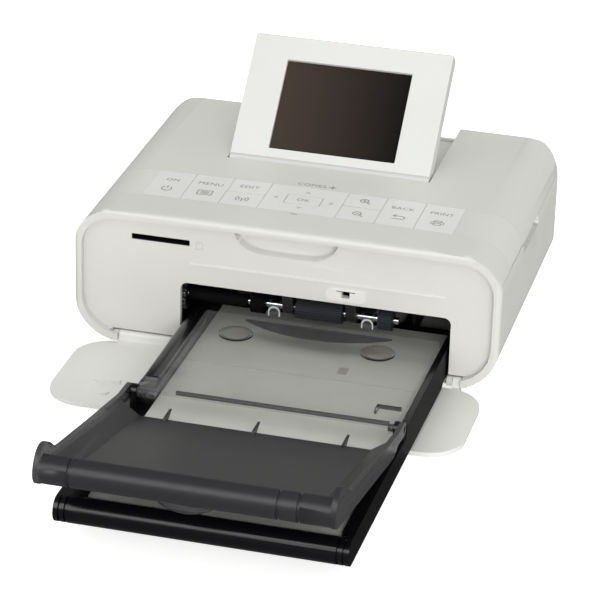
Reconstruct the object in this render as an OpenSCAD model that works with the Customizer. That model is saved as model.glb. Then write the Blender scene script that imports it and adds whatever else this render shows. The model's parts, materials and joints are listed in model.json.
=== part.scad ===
/* [Housing] */
// Width of the housing across its sides
body_w = 182; // [178:0.5:186]
// Depth of the housing from the front rim to the back
body_d = 136; // [134:0.5:142]
// Height of the top above the table
body_h = 63.3; // [63:0.1:67]
// Height of the underside above the table
under_h = 3; // [2.6:0.1:3.2]
// Thickness of the moulded walls
wall = 2; // [1.8:0.1:2.2]
// Radius of the long upper edges
corner_top_r = 17; // [16:0.5:22]
// Radius of the long lower edges
corner_low_r = 20; // [19:0.5:22]
// Drop of the top from its middle to the corner radius
crown_drop = 0.8; // [0.2:0.1:1.2]
// Radius of the upright back corners
back_corner_r = 12; // [8:0.5:14]
// Height of the seam between base and top cover
split_h = 14; // [13:0.5:16]

/* [Front] */
// Depth of the raised rim round the face
rim_d = 3.5; // [3:0.1:4]
// Width of the raised rim
rim_w = 3.2; // [2.8:0.1:4]
// Thickness of the face plate
face_t = 2.5; // [2:0.1:3]
// Distance of the cassette opening from the right side of the housing
open_side = 21; // [20:0.5:22]
// Width of the cassette opening
open_w = 115.5; // [115:0.5:117]
// Height of the opening's upper edge above the table
open_top = 32.8; // [32:0.1:34]
// Corner radius of the opening
open_r = 3; // [2:0.5:4]
// Height of the card slot above the table
slot_h = 51; // [50:0.25:52]
// Width of the card slot
slot_w = 25.2; // [24.5:0.1:27]
// Height of the card slot's gap
slot_gap = 2.6; // [2.3:0.1:3]
// Width of the finger recess at its upper edge
grip_w = 44.5; // [36:0.5:48]
// Height of the finger recess
grip_h = 10; // [9:0.25:11]
// Depth of the finger recess behind the face
grip_deep = 5.5; // [5:0.5:7]

/* [Front door] */
// Thickness of the front door
door_t = 2; // [1.8:0.1:2.2]
// Height of the door's underside above the table when it lies open
door_lift = 0.3; // [0.2:0.05:0.4]
// Distance of the door's pivot behind the front rim
door_pivot_back = 4.2; // [4:0.1:4.4]
// Height of the door's pivot above the table
door_pivot_h = 4.5; // [4.4:0.1:4.6]
// Radius of the door's outer corners
door_r = 15; // [10:0.5:18]
// Diameter of the steel hinge pins
pin_d = 2; // [1.6:0.1:2.2]
// Running clearance between a pin or shaft and its hole
run_gap = 0.05; // [0.02:0.01:0.08]

/* [Screen] */
// Width of the screen panel
screen_w = 88.2; // [86:0.2:90]
// Length of the screen panel beyond its pivot
screen_l = 60; // [58:0.5:61]
// Thickness of the screen panel
screen_t = 7; // [6.6:0.1:7.2]
// Tilt of the raised screen from flat
screen_tilt = 45; // [20:1:45]
// Distance of the screen's pivot behind the middle of the housing
screen_pivot_y = 4.1; // [3:0.1:5]
// Width of the display window
lcd_w = 55.9; // [50:0.1:60]
// Height of the display window
lcd_h = 42.3; // [38:0.1:45]
// Distance of the display window above the panel's hinge edge
lcd_low = 6.6; // [5:0.1:9]
// Diameter of the screen's hinge barrel
barrel_d = 4.2; // [4:0.1:4.6]

/* [Keys] */
// Width of one key, seam to seam
key_w = 16.7; // [15.5:0.1:17]
// Depth of the key strip from front to back
strip_d = 27.3; // [26:0.1:28]
// Distance of the key strip behind the front rim
strip_back = 20.5; // [20:0.1:22]
// Thickness of a key
key_t = 1.3; // [1.1:0.1:1.4]
// Travel of a pressed key
key_travel = 0.5; // [0.3:0.05:0.6]
// Gap round each key
key_gap = 0.2; // [0.15:0.05:0.3]
// Width of the confirm key in the middle of the rocker
ok_w = 15; // [13:0.5:17]
// Depth of the confirm key
ok_d = 9.3; // [8:0.1:10]

/* [Ink door] */
// Length of the ink door along the side
ink_door_l = 118.3; // [112:0.5:118.5]
// Height of the ink door's upper edge above the table
ink_door_top = 49.7; // [48:0.1:50]
// Length of the finger notch in the ink door's upper edge
notch_l = 32; // [28:0.5:36]
// Depth of the finger notch
notch_h = 4; // [3:0.25:5]
// Gap between the ink door and the housing
door_gap = 0.3; // [0.2:0.05:0.4]

/* [Print mechanism] */
// Radius of the rubber platen roller
platen_r = 5; // [4.8:0.1:5.2]
// Length of the rubber platen roller
platen_l = 104; // [102:0.5:105]
// Height of the paper path above the table
path_h = 25.2; // [25:0.1:25.6]
// Radius of the steel feed roller
feed_r = 3; // [2.8:0.1:3.2]
// Radius of the pinch roller above the feed roller
pinch_r = 2; // [1.8:0.1:2.1]
// Radius of the pick-up rollers
pick_r = 4.6; // [4.4:0.1:4.7]
// Height of the pick-up shaft above the table
pick_h = 23.4; // [23.3:0.1:24]
// Radius of the pick-up shaft
pick_shaft_r = 1.5; // [1.3:0.1:1.6]
// Module of all gears
gear_mod = 0.8; // [0.78:0.01:0.82]
// Width of the gears
gear_w = 3.6; // [3:0.1:3.8]
// Thickness of the sheet steel chassis
sheet_t = 1.5; // [1.2:0.1:1.6]
// Radius of the ink cassette's two tubes
tube_r = 11.5; // [11:0.1:11.7]
// Wall of the ink cassette's tubes
tube_wall = 1.2; // [1:0.1:1.4]

/* [Paper cassette] */
// Gap between the cassette and each side of its opening
tray_gap = 1; // [0.8:0.1:1.3]
// Distance that the tray reaches in front of the rim
tray_out = 164; // [160:0.5:167]
// Distance that the tray reaches into the housing behind the rim
tray_in = 36; // [34:0.5:38]
// Upward tilt of the cassette from the housing to its front
tray_tilt = 1.2; // [0.8:0.1:1.4]
// Height of the tray's rear side walls, measured at the housing
rail_top = 19.2; // [18.8:0.1:19.4]
// Height of the tray's front side walls, in line with the tray
low_rail_top = 14.7; // [14.2:0.1:15]
// Width of the cassette's left rail
rail_l = 10; // [9.6:0.1:10.2]
// Width of the cassette's right rail
rail_r = 2.6; // [2.5:0.1:2.8]
// Wall of the tray
tray_wall = 1.8; // [1.6:0.1:2]
// Width of the paper
paper_w = 100; // [98:0.5:100.4]
// Length of a sheet with its tear-off ends
paper_l = 182; // [148:1:184]
// Thickness of the stack of paper
paper_t = 4; // [2:0.25:4.5]
// Distance of the lids' hinge in front of the rim
lid_hinge_out = 74.3; // [72:0.1:76]
// Height of the lids' hinge, in line with the tray
lid_hinge_h = 19; // [18.9:0.1:19.4]
// Angle of the opened outer lid above the tray
lid_tilt = 11.8; // [11:0.1:15]
// Length of the outer lid from its hinge to the middle of its rolled lip
lid_l = 108; // [104:0.5:110]
// Outer radius of the rolled lip
lip_r = 5.6; // [5.2:0.1:6]
// Thickness of both lids
lid_t = 1.5; // [1.2:0.1:1.7]
// Depth of the outer lid's floor below its hinge line
lid_sink = 6.2; // [6:0.1:6.5]

/* [Hidden] */
$fn = 48;

eps = 0.01;
far = 400;

// Main planes of the housing, about the middle of its footprint
half_w = body_w / 2;
front_y = -body_d / 2;
back_y = body_d / 2;
face_y = front_y + rim_d;
face_back = face_y + face_t;
floor_h = under_h + wall;
edge_low_r = 6;
edge_back_r = 4.5;
edge_front_r = 2;
arc_steps = 9;
crown_steps = 8;

// Reach of the opened outer lid in front of the rim
tray_front_low = 4.2;
hinge_y = front_y - lid_hinge_out;
lip_w = -4.2;
cheek_r = lip_r + 0.25;
lip_out = lid_hinge_out + lid_l * cos(lid_tilt) - lip_w * sin(lid_tilt);
lip_up = lid_hinge_h + lid_l * sin(lid_tilt) + lip_w * cos(lid_tilt) - tray_front_low;
reach = lip_out * cos(tray_tilt) - lip_up * sin(tray_tilt) + cheek_r;
body_y = reach / 2;

// Front face
open_right = half_w - open_side;
open_left = open_right - open_w;
open_x = (open_left + open_right) / 2;
slot_x = -half_w + 36.7;
rim_gap_h = 9;
ridge_h = 42.1;
ridge_t = 0.4;
latch_x = open_x + 13.2;
latch_h = 37.4;
grip_top = body_h - rim_w;
pocket_wall = 1.5;

// Front door
door_pivot_y = front_y + door_pivot_back;
door_rear_y = front_y + 1;
door_side = half_w - rim_w - 1;
door_len = body_h - crown_drop - rim_w - door_pivot_h + door_pivot_y - door_rear_y - 0.3;
barrel_r = 2.2;
pin_r = pin_d / 2;
lug_w = 2.4;
lug_gap = 0.2;
arm_left = [-half_w + 19, open_left - 4.3];
arm_right = [open_right + 2.2, open_right + 5.6];
rim_gap_w = arm_right[1] + lug_gap + lug_w + 0.3;
arm_relief = 0.6;

// Key strip
keys_x = -1.3;
strip_y0 = front_y + strip_back;
strip_y1 = strip_y0 + strip_d;
strip_low = 50;
strip_t = 3.4;
frame_in = key_t + key_travel + 0.2;
keys_half = 4 * key_w;
ledge_t = 1.6;
ledge_in = 1.6;
mid_y = (strip_y0 + strip_y1) / 2;
board_h = body_h - 9;
board_t = 1.4;
dome_h = 1.2;
dome_r = 2.2;
stem_r = 1.4;
nav_pivot_h = body_h - 4.9;
nav_dx = 12.4;
nav_dy = 9.4;
key_floor = body_h - crown_drop - frame_in - 4;

// Screen and its recess
barrel_r2 = barrel_d / 2;
pivot_h = body_h - barrel_r2;
recess_y0 = screen_pivot_y - barrel_r2 - 0.5;
recess_half = screen_w / 2 + 0.7;
recess_floor = body_h - screen_t - 0.6;
recess_wall = 1.8;
recess_sill = recess_floor + 1.2;
screen_pin_l = 3;
bezel_t = 2.4;
glass_t = 0.8;
screen_edge = 0.6;

// Ink door
ink_y0 = face_back + door_gap;
ink_y1 = ink_y0 + ink_door_l;
ink_pivot_x = half_w - 10;
ink_pivot_h = under_h + 8.5;
ink_edge_x = ink_pivot_x - 0.2;
ink_sweep = 6.2;
ink_barrel_r = 2.4;
ink_lug = 2.6;
notch_y = -4;

// Chassis and paper path
paper_x = (rail_l - rail_r) / 2;
roller_x0 = open_x + paper_x - platen_l / 2;
head_x0 = roller_x0 - 1;
head_x1 = roller_x0 + platen_l;
ink_end = 1.2;
ink_x0 = head_x0 - 3.95;
ink_x1 = head_x1 + 0.5 + ink_end;
plate_in = roller_x0 - 12.45;
plate_right = ink_x1 + 0.5;
chassis_y0 = -29;
chassis_y1 = 55;
shelf_h = 45;
plate_top = 53;
platen_y = 8;
platen_h = path_h - 0.2 - platen_r;
feed_y = 26;
feed_h = path_h - feed_r;
pinch_h = path_h + 0.2 + pinch_r;
shaft_r = 2;
gear_x = plate_in + 0.6;
spool_h = path_h + 12.8;
supply_y = 45;
head_pivot_y = 24;
head_pivot_h = 45;
guide_t = 1.8;
yoke_x = gear_x + gear_w + 0.4;
motor_x = -half_w + 11;
board_x0 = -half_w + 8;
board_x1 = plate_in - sheet_t - 0.3;
board_tongue = 9.7;
port_w = 10;
port_low = 35;
port_top = 42;
port_depth = 13;
port_wall = 1;
port_gap = 1;
jack_h = 21;
jack_r = 3.1;
jack_side = 5;
jack_rise = 6;
panel_seat = 1.6;
socket_x = plate_in - sheet_t - port_gap - port_w;
screw_points = [[-half_w + 20.5, front_y + 18], [-half_w + 20.5, back_y - 7.5], [0, back_y - 7.5],
    [half_w - 20.5, back_y - 7.5]];

// Gears
idler_n = 20;
roller_n = 20;
pinion_n = 12;
take_up_n = 30;
pick_n = 16;
mesh = gear_mod / 2;
span = norm([feed_y - platen_y, feed_h - platen_h]);
train = mesh * (idler_n + roller_n);
idler_y = (feed_y + platen_y) / 2 - sqrt(train * train - span * span / 4) * (feed_h - platen_h) / span;
idler_h = (feed_h + platen_h) / 2 + sqrt(train * train - span * span / 4) * (feed_y - platen_y) / span;
pinion_dir = 168;
pinion_y = idler_y + mesh * (idler_n + pinion_n) * cos(pinion_dir);
pinion_h = idler_h + mesh * (idler_n + pinion_n) * sin(pinion_dir);
take_up_dir = 175;
take_up_y = pinion_y + mesh * (pinion_n + take_up_n) * cos(take_up_dir);
take_up_h = pinion_h + mesh * (pinion_n + take_up_n) * sin(take_up_dir);
pick_y = front_y + 14;
pick_dir = 82;
pick_pinion_y = pick_y + mesh * (pick_n + pinion_n) * cos(pick_dir);
pick_pinion_h = pick_h + mesh * (pick_n + pinion_n) * sin(pick_dir);
pick_gear_w = 2.4;
pick_motor_x = -half_w + 19.9;

// Paper cassette
tray_half = open_w / 2 - tray_gap;
tray_y0 = front_y - tray_out;
tray_y1 = front_y + tray_in;
tray_rear_low = 6.1;
bar_r = (low_rail_top - tray_front_low) / 2;
bar_d = 2 * bar_r;
step_y = hinge_y + 3.6;
rail_dip = 1.2;
rail_round = 7;
front_lip = 2.4;
inner_rail_top = 14.2;
plate_rest = 7.8;
paper_rest = plate_rest + 1.2;
post_w = 1.6;
post_l = 2.4;
arm_w = 2;
cheek_w = 3;
side_gap = 0.3;
trunnion_r = 1.5;
eye_r = 3;
inner_eye_r = 2.4;
eye_x = tray_half - 0.2 - arm_w - side_gap;
inner_left = -eye_x + post_l + side_gap;
inner_right = eye_x - post_w - side_gap;
lid_side = 0.35;
inner_top = lid_hinge_h + 2.45;
inner_rear_y = front_y + 3.6;
inner_front_y = hinge_y - 2.6;
ring_places = [-28.2, 31.8];
slope_in = 10.5;
lip_grooves = [-43.3, 35, 42.6];

function arc_pts(cx, cy, r, a0, a1, n) =
    [for (i = [0 : n]) let (a = a0 + (a1 - a0) * i / n) [cx + r * cos(a), cy + r * sin(a)]];

function bezier(p, n) =
    [for (i = [0 : n]) let (t = i / n, s = 1 - t)
        s * s * s * p[0] + 3 * s * s * t * p[1] + 3 * s * t * t * p[2] + t * t * t * p[3]];

// Outline of the housing seen from the front, inset by i
function front_pts(i) =
    let (cx = half_w - corner_top_r, cz = body_h - crown_drop - corner_top_r, bx = half_w - corner_low_r)
    concat(
        arc_pts(bx, under_h + corner_low_r, corner_low_r - i, -90, 0, arc_steps),
        arc_pts(cx, cz, corner_top_r - i, 0, 90, arc_steps),
        [for (k = [1 : crown_steps - 1])
            let (s = 1 - 2 * k / crown_steps)
            [s * cx, body_h - i - crown_drop * s * s]],
        arc_pts(-cx, cz, corner_top_r - i, 90, 180, arc_steps),
        arc_pts(-bx, under_h + corner_low_r, corner_low_r - i, 180, 270, arc_steps)
    );

// Outline seen from above, inset by i, reaching forward by ext
function plan_pts(i, ext) =
    let (f = edge_front_r)
    concat(
        arc_pts(half_w - back_corner_r, back_y - back_corner_r, back_corner_r - i, 0, 90, arc_steps),
        arc_pts(-half_w + back_corner_r, back_y - back_corner_r, back_corner_r - i, 90, 180, arc_steps),
        ext > 0 ? [[-half_w + i, front_y - ext], [half_w - i, front_y - ext]] :
            concat(arc_pts(-half_w + f, front_y + f, f, 180, 270, 4),
                arc_pts(half_w - f, front_y + f, f, 270, 360, 4))
    );

// Outline seen from the right side, inset by i, reaching forward by ext
function side_pts(i, ext) =
    let (f = edge_front_r)
    concat(
        arc_pts(back_y - edge_low_r, under_h + edge_low_r, edge_low_r - i, -90, 0, 5),
        arc_pts(back_y - edge_back_r, body_h - edge_back_r, edge_back_r - i, 0, 90, 5),
        ext > 0 ? [[front_y - ext, body_h - i], [front_y - ext, under_h + i]] :
            concat(arc_pts(front_y + f, body_h - f, f, 90, 180, 4), [[front_y, under_h]])
    );

module at_body() {
    translate([0, body_y, 0]) children();
}

module at_keys() {
    translate([keys_x, body_y, 0]) children();
}

// Block given by its lowest and highest corners
module block(lo, hi) {
    translate(lo) cube(hi - lo);
}

// Cylinder along X from x0 to x1 at the given y and height
module rod_x(x0, x1, y, h, r) {
    translate([x0, y, h]) rotate([0, 90, 0]) cylinder(h = x1 - x0, r = r);
}

// Cylinder along Y from y0 to y1
module rod_y(y0, y1, x, h, r) {
    translate([x, y1, h]) rotate([90, 0, 0]) cylinder(h = y1 - y0, r = r);
}

// Profile in Y and height, extruded from x0 to x1
module wall_x(x0, x1, pts) {
    translate([x0, 0, 0]) rotate([90, 0, 90]) linear_extrude(x1 - x0) polygon(pts);
}

// Plate in X and height with rounded corners, from y0 to y1
module face_plate(x0, x1, h0, h1, r, y0, y1) {
    translate([0, y1, 0]) rotate([90, 0, 0]) linear_extrude(y1 - y0)
        polygon(concat(arc_pts(x1 - r, h0 + r, r, -90, 0, 6), arc_pts(x1 - r, h1 - r, r, 0, 90, 6),
            arc_pts(x0 + r, h1 - r, r, 90, 180, 6), arc_pts(x0 + r, h0 + r, r, 180, 270, 6)));
}

// Plate in X and Y with rounded corners, from height h0 to h1
module level_plate(x0, x1, y0, y1, r, h0, h1) {
    translate([0, 0, h0]) linear_extrude(h1 - h0)
        polygon(concat(arc_pts(x1 - r, y0 + r, r, -90, 0, 6), arc_pts(x1 - r, y1 - r, r, 0, 90, 6),
            arc_pts(x0 + r, y1 - r, r, 90, 180, 6), arc_pts(x0 + r, y0 + r, r, 180, 270, 6)));
}

// Outer form of the housing, inset by i
module body_form(i, ext = 0) {
    intersection() {
        translate([0, back_y, 0]) rotate([90, 0, 0]) linear_extrude(body_d + ext) polygon(front_pts(i));
        linear_extrude(body_h) polygon(plan_pts(i, ext));
        translate([-half_w, 0, 0]) rotate([90, 0, 90]) linear_extrude(body_w) polygon(side_pts(i, ext));
    }
}

// Layer of the housing's skin between two insets
module skin(i0, i1) {
    difference() {
        body_form(i0);
        body_form(i1, 5);
    }
}

/* Housing */

module band(extra) {
    block([-half_w, strip_y0 - extra, strip_low - extra], [half_w, strip_y1 + extra, body_h]);
}

module recess_cut() {
    block([-recess_half, recess_y0, recess_floor], [recess_half, back_y - wall, body_h + 1]);
    block([-recess_half, recess_y0, recess_sill], [recess_half, back_y + 1, body_h + 1]);
}

module ink_door_hole(gap) {
    block([ink_pivot_x - 0.5, ink_y0 - gap, 0], [half_w + 1, ink_y1 + gap, ink_door_top + gap]);
}

module top_cover() {
    color("#dddcd6") at_body() difference() {
        union() {
            intersection() {
                difference() {
                    skin(0, wall);
                    difference() {
                        band(0);
                        body_form(strip_t, 5);
                    }
                }
                block([-half_w, face_y, split_h], [half_w, back_y, body_h]);
            }
            intersection() {
                skin(strip_t + 0.03, strip_t + ledge_t);
                band(ledge_in);
            }
            intersection() {
                body_form(0);
                block([-recess_half - recess_wall, recess_y0 - recess_wall, recess_floor - recess_wall],
                    [recess_half + recess_wall, back_y, body_h]);
            }
            for (s = [-1, 1])
                block([s * (recess_half + 3) - 1.2, strip_y1 + ledge_in, plate_top],
                    [s * (recess_half + 3) + 1.2, back_y - wall - 1, body_h - wall - 0.4]);
        }
        recess_cut();
        block([keys_x - keys_half + 2, strip_y0 + ledge_in, board_h - 3],
            [keys_x + keys_half - 2, strip_y1 - ledge_in, body_h]);
        ink_door_hole(door_gap);
        rear_window(0);
        for (s = [-1, 1]) rod_x(s * recess_half - 2, s * recess_half + 2, screen_pivot_y, pivot_h, pin_r);
    }
}

module rear_window(gap) {
    face_plate(-half_w + 14 + gap, half_w - 14 - gap, split_h + gap, 47 - gap, 3, back_y - wall - 1, back_y + 1);
}

module base_shell() {
    color("#d8d7d1") at_body() difference() {
        union() {
            difference() {
                intersection() {
                    skin(0, wall);
                    block([-half_w, face_y, under_h], [half_w, back_y, split_h]);
                }
                rod_y(ink_y0 - door_gap, ink_y1 + door_gap, ink_pivot_x, ink_pivot_h, ink_sweep);
                ink_door_hole(door_gap);
            }
            for (y = [ink_y0 + 12, ink_y1 - 14]) ink_lug_arm(y);
            for (a = [arm_left, arm_right])
                for (x = [a[0] - lug_gap - lug_w, a[1] + lug_gap])
                    door_lug(x);
            for (p = screw_points) translate([p[0], p[1], floor_h - eps]) cylinder(h = split_h - floor_h, r = 3.2);
        }
        for (a = [arm_left, arm_right])
            block([a[0] - lug_gap, face_y - 2, 0], [a[1] + lug_gap, door_pivot_y + barrel_r + arm_relief, split_h]);
        for (a = [arm_left, arm_right])
            rod_x(a[0] - 5, a[1] + 5, door_pivot_y, door_pivot_h, pin_r);
        rod_y(ink_y0, ink_y1, ink_pivot_x, ink_pivot_h, pin_r);
        for (p = screw_points) translate([p[0], p[1], 0]) cylinder(h = split_h + 1, r = 1.5);
        for (k = [0 : 6]) block([-20 + k * 7, 20, 0], [-17 + k * 7, 44, floor_h + 1]);
    }
}

module door_lug(x) {
    wall_x(x, x + lug_w, concat(
        [[door_pivot_y - barrel_r * 0.9, under_h], [door_pivot_y + barrel_r, under_h]],
        arc_pts(door_pivot_y, door_pivot_h, barrel_r, 0, 180, 10)));
}

module ink_lug_arm(y) {
    block([ink_pivot_x - 8.8, y, floor_h - eps], [ink_pivot_x - 6.4, y + ink_lug, split_h]);
    block([ink_pivot_x - 6.5, y, ink_pivot_h - 0.2], [ink_pivot_x, y + ink_lug, ink_pivot_h + ink_barrel_r]);
    rod_y(y, y + ink_lug, ink_pivot_x, ink_pivot_h, ink_barrel_r);
}

module front_rim() {
    color("#e2e1db") at_body() difference() {
        intersection() {
            body_form(0);
            block([-half_w, front_y, under_h], [half_w, face_y, body_h]);
        }
        translate([0, face_y + 1, 0]) rotate([90, 0, 0]) linear_extrude(rim_d + 2) polygon(front_pts(rim_w));
        block([arm_left[0] - lug_gap, front_y - 1, 0], [arm_right[1] + lug_gap, face_y + 1, rim_gap_h]);
        block([-rim_gap_w, door_pivot_y - barrel_r - 0.1, 0], [rim_gap_w, face_y + 1, door_pivot_h + barrel_r + 0.3]);
    }
}

module grip_shape(y0, y1, grow) {
    translate([keys_x / 2, y1, 0]) rotate([90, 0, 0]) linear_extrude(y1 - y0)
        polygon(concat(
            bezier([[-grip_w / 2 - grow, grip_top], [-grip_w / 2 - grow, grip_top - grip_h * 0.7],
                [-grip_w / 3, grip_top - grip_h - grow], [-grip_w / 5, grip_top - grip_h - grow]], 8),
            bezier([[grip_w / 5, grip_top - grip_h - grow], [grip_w / 3, grip_top - grip_h - grow],
                [grip_w / 2 + grow, grip_top - grip_h * 0.7], [grip_w / 2 + grow, grip_top]], 8)));
}

module front_panel() {
    color("#dbdad4") at_body() difference() {
        union() {
            translate([0, face_back, 0]) rotate([90, 0, 0]) linear_extrude(face_t) polygon(front_pts(wall));
            intersection() {
                grip_shape(face_y, face_y + grip_deep + pocket_wall, pocket_wall);
                body_form(wall, 5);
            }
            face_plate(open_left + 4, open_right - 3, ridge_h - 0.5, ridge_h + 0.5, 0.4, face_y - ridge_t, face_y + 1);
            face_plate(latch_x - 8.5, latch_x + 8.5, latch_h - 3.2, latch_h + 2, 2, face_y - 1.6 * ridge_t, face_y + 1);
        }
        face_plate(open_left, open_right, -10, open_top, open_r, face_y - 2, face_back + 1);
        face_plate(slot_x - slot_w / 2, slot_x + slot_w / 2, slot_h - slot_gap / 2, slot_h + slot_gap / 2,
            0.4, face_y - 1, face_back + 1);
        face_plate(latch_x - 4, latch_x + 4, latch_h + 1, latch_h + 1.5, 0.2, face_y - 1, face_back + 1);
        grip_shape(face_y - 1, face_y + grip_deep, 0);
        face_plate(latch_x - 1.75, latch_x + 1.75, latch_h - 1.6, latch_h + 1.2, 0.3, face_y - 1, face_back + 1);
        for (a = [arm_left, arm_right])
            block([a[0] - lug_w - 0.5, face_y - 2, 0], [a[1] + lug_w + 0.5, face_back + 1,
                door_pivot_h + barrel_r + 0.7]);
    }
}

module rear_panel() {
    color("#d4d3cd") at_body() difference() {
        union() {
            intersection() {
                rear_window(0.15);
                block([-half_w, back_y - wall, 0], [half_w, back_y, body_h]);
            }
            face_plate(-half_w + 12, half_w - 12, split_h - 2, 49, 3, back_y - wall - panel_seat, back_y - wall);
        }
        face_plate(open_x - 54, open_x + 54, path_h - 1.5, path_h + 5, 1.5, back_y - 6, back_y + 1);
        for (k = [0 : 13])
            face_plate(-16 + k * 4.4, -14 + k * 4.4, path_h + 10, path_h + 17, 0.9, back_y - 6, back_y + 1);
        rod_y(back_y - 8, back_y + 1, socket_x, jack_h, jack_r + 0.3);
        face_plate(socket_x + port_wall, socket_x + port_w - port_wall, port_low + port_wall, port_top - port_wall,
            0.8, back_y - 6, back_y + 1);
    }
}

module case_screws() {
    color("#b9bcc0") at_body()
        for (p = screw_points) translate([p[0], p[1], 0]) {
            translate([0, 0, under_h]) cylinder(h = split_h - under_h - 1, r = 1.5);
            translate([0, 0, under_h - 1.2]) cylinder(h = 1.2, r = 2.8);
        }
}

module feet() {
    color("#8d8f92") at_body()
        for (x = [-half_w + 29, half_w - 29], y = [front_y + 26, back_y - 10])
            translate([x, y, 0]) cylinder(h = under_h, r = 5);
}

module hinge_pins() {
    color("#c3c6c9") at_body() {
        for (a = [arm_left, arm_right])
            rod_x(a[0] - lug_gap - lug_w, a[1] + lug_gap + lug_w, door_pivot_y, door_pivot_h, pin_r);
        rod_y(ink_y0 + 4, ink_y0 + 12 + ink_lug, ink_pivot_x, ink_pivot_h, pin_r);
        rod_y(ink_y1 - 14, ink_y1 - 5, ink_pivot_x, ink_pivot_h, pin_r);
        rod_x(-recess_half - 2, -recess_half + screen_pin_l, screen_pivot_y, pivot_h, pin_r);
        rod_x(recess_half - screen_pin_l, recess_half + 2, screen_pivot_y, pivot_h, pin_r);
    }
}

/* Front door, lying open */

module front_door() {
    top = door_lift + door_t;
    color("#e4e3dd") at_body() difference() {
        union() {
            level_plate(-door_side, door_side, door_rear_y - door_len, door_rear_y, door_r, door_lift, top);
            for (a = [arm_left, arm_right]) wall_x(a[0], a[1], concat(
                [[door_rear_y - 3, door_lift], [door_pivot_y - 0.6, door_lift],
                    [door_pivot_y + barrel_r - 0.5, door_pivot_h - barrel_r]],
                arc_pts(door_pivot_y, door_pivot_h, barrel_r, -50, 180, 12),
                [[door_pivot_y - barrel_r - 0.6, top + 0.6], [door_rear_y - 3, top]]));
            block([-71, door_rear_y - 38, top - eps], [-59, door_rear_y - 36.6, top + 1.6]);
            face_bump(-65, door_rear_y - 47, 4, 1.2, top);
            block([latch_x - 1, door_pivot_y - latch_h + door_pivot_h - 0.3, top - eps],
                [latch_x + 1, door_pivot_y - latch_h + door_pivot_h + 1, top + 1.4]);
        }
        for (a = [arm_left, arm_right])
            rod_x(a[0] - 1, a[1] + 1, door_pivot_y, door_pivot_h, pin_r + run_gap);
    }
}

// Low oblong boss on the door
module face_bump(x, y, half, r, h) {
    level_plate(x - half, x + half, y - r, y + r, r - eps, h - eps, h + 0.8);
}

/* Ink door on the right side */

module ink_door() {
    notch0 = notch_y - notch_l / 2;
    color("#dcdbd5") at_body() difference() {
        union() {
            intersection() {
                skin(0, wall);
                block([ink_edge_x, ink_y0, under_h], [half_w, ink_y1, ink_door_top]);
            }
            intersection() {
                skin(wall, wall + 1.4);
                block([ink_edge_x + 2, notch0 - 3, 40], [half_w, notch0 + notch_l + 3, ink_door_top]);
            }
            for (y = [ink_y0 + 4, ink_y1 - 11.2]) intersection() {
                body_form(wall - 0.4);
                union() {
                    rod_y(y, y + 6, ink_pivot_x, ink_pivot_h, ink_barrel_r);
                    block([ink_pivot_x, y, ink_pivot_h - ink_barrel_r], [half_w, y + 6, ink_pivot_h + ink_barrel_r]);
                }
            }
        }
        difference() {
            face_x_slot(notch0, notch0 + notch_l, ink_door_top - notch_h, ink_door_top + 3);
            body_form(wall, 5);
        }
        rod_y(ink_y0, ink_y1, ink_pivot_x, ink_pivot_h, pin_r + run_gap);
    }
}

// Slot with round ends seen from the side
module face_x_slot(y0, y1, h0, h1) {
    r = 1.8;
    wall_x(ink_edge_x, half_w + 1, concat(arc_pts(y1 - r, h0 + r, r, -90, 0, 5), [[y1, h1], [y0, h1]],
        arc_pts(y0 + r, h0 + r, r, 180, 270, 5)));
}

/* Screen */

module screen_pose() {
    at_body() translate([0, screen_pivot_y, pivot_h]) rotate([screen_tilt, 0, 0]) children();
}

// Side profile of the panel about its pivot, cut at depth below the front face
function screen_pts(low) = concat(
    arc_pts(0, 0, barrel_r2, 90, low < -barrel_r2 ? 250 : 180, 10),
    [[barrel_r2, low], [screen_l - screen_edge, low], [screen_l, low + screen_edge], [screen_l, barrel_r2 - 0.4],
        [screen_l - 0.4, barrel_r2]]);

module screen_case() {
    low = barrel_r2 - screen_t;
    seam = barrel_r2 - bezel_t;
    color("#e3e3de") screen_pose() difference() {
        wall_x(-screen_w / 2, screen_w / 2, screen_pts(low));
        block([-screen_w / 2 - 1, barrel_r2 + 0.4, seam], [screen_w / 2 + 1, screen_l + 1, barrel_r2 + 1]);
        block([-screen_w / 2 + 1.6, barrel_r2 + 2, low + 1.6], [screen_w / 2 - 1.6, screen_l - 1.8, seam + 1]);
        for (s = [-1, 1]) rod_x(s * screen_w / 2 - 3, s * screen_w / 2 + 3, 0, 0, pin_r + run_gap);
    }
}

module screen_bezel() {
    seam = barrel_r2 - bezel_t;
    color("#e9e9e4") screen_pose() difference() {
        intersection() {
            wall_x(-screen_w / 2, screen_w / 2, screen_pts(-barrel_r2));
            block([-screen_w / 2, barrel_r2 + 0.4, seam], [screen_w / 2, screen_l, barrel_r2]);
        }
        level_plate(-lcd_w / 2, lcd_w / 2, lcd_low, lcd_low + lcd_h, 0.5, seam - 1, barrel_r2 + 1);
        level_plate(-lcd_w / 2 - 1.5, lcd_w / 2 + 1.5, lcd_low - 1.5, lcd_low + lcd_h + 1.5, 0.8,
            seam - 1, barrel_r2 - 1 - glass_t + 0.2);
    }
}

module screen_glass() {
    color("#141212") screen_pose()
        level_plate(-lcd_w / 2 - 1.4, lcd_w / 2 + 1.4, lcd_low - 1.4, lcd_low + lcd_h + 1.4, 0.8,
            barrel_r2 - 1 - glass_t + 0.2 - glass_t, barrel_r2 - 1 - glass_t + 0.2);
}

module lcd_module() {
    top = barrel_r2 - 1 - 2 * glass_t + 0.2;
    color("#3a3c40") screen_pose() {
        block([-lcd_w / 2 - 3, lcd_low - 2, barrel_r2 - screen_t + 1.6], [lcd_w / 2 + 3, lcd_low + lcd_h + 2,
            barrel_r2 - bezel_t - 0.3]);
        block([-lcd_w / 2 - 1, lcd_low - 1, barrel_r2 - bezel_t - 0.3 - eps], [lcd_w / 2 + 1, lcd_low + lcd_h + 1, top]);
    }
}

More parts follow.
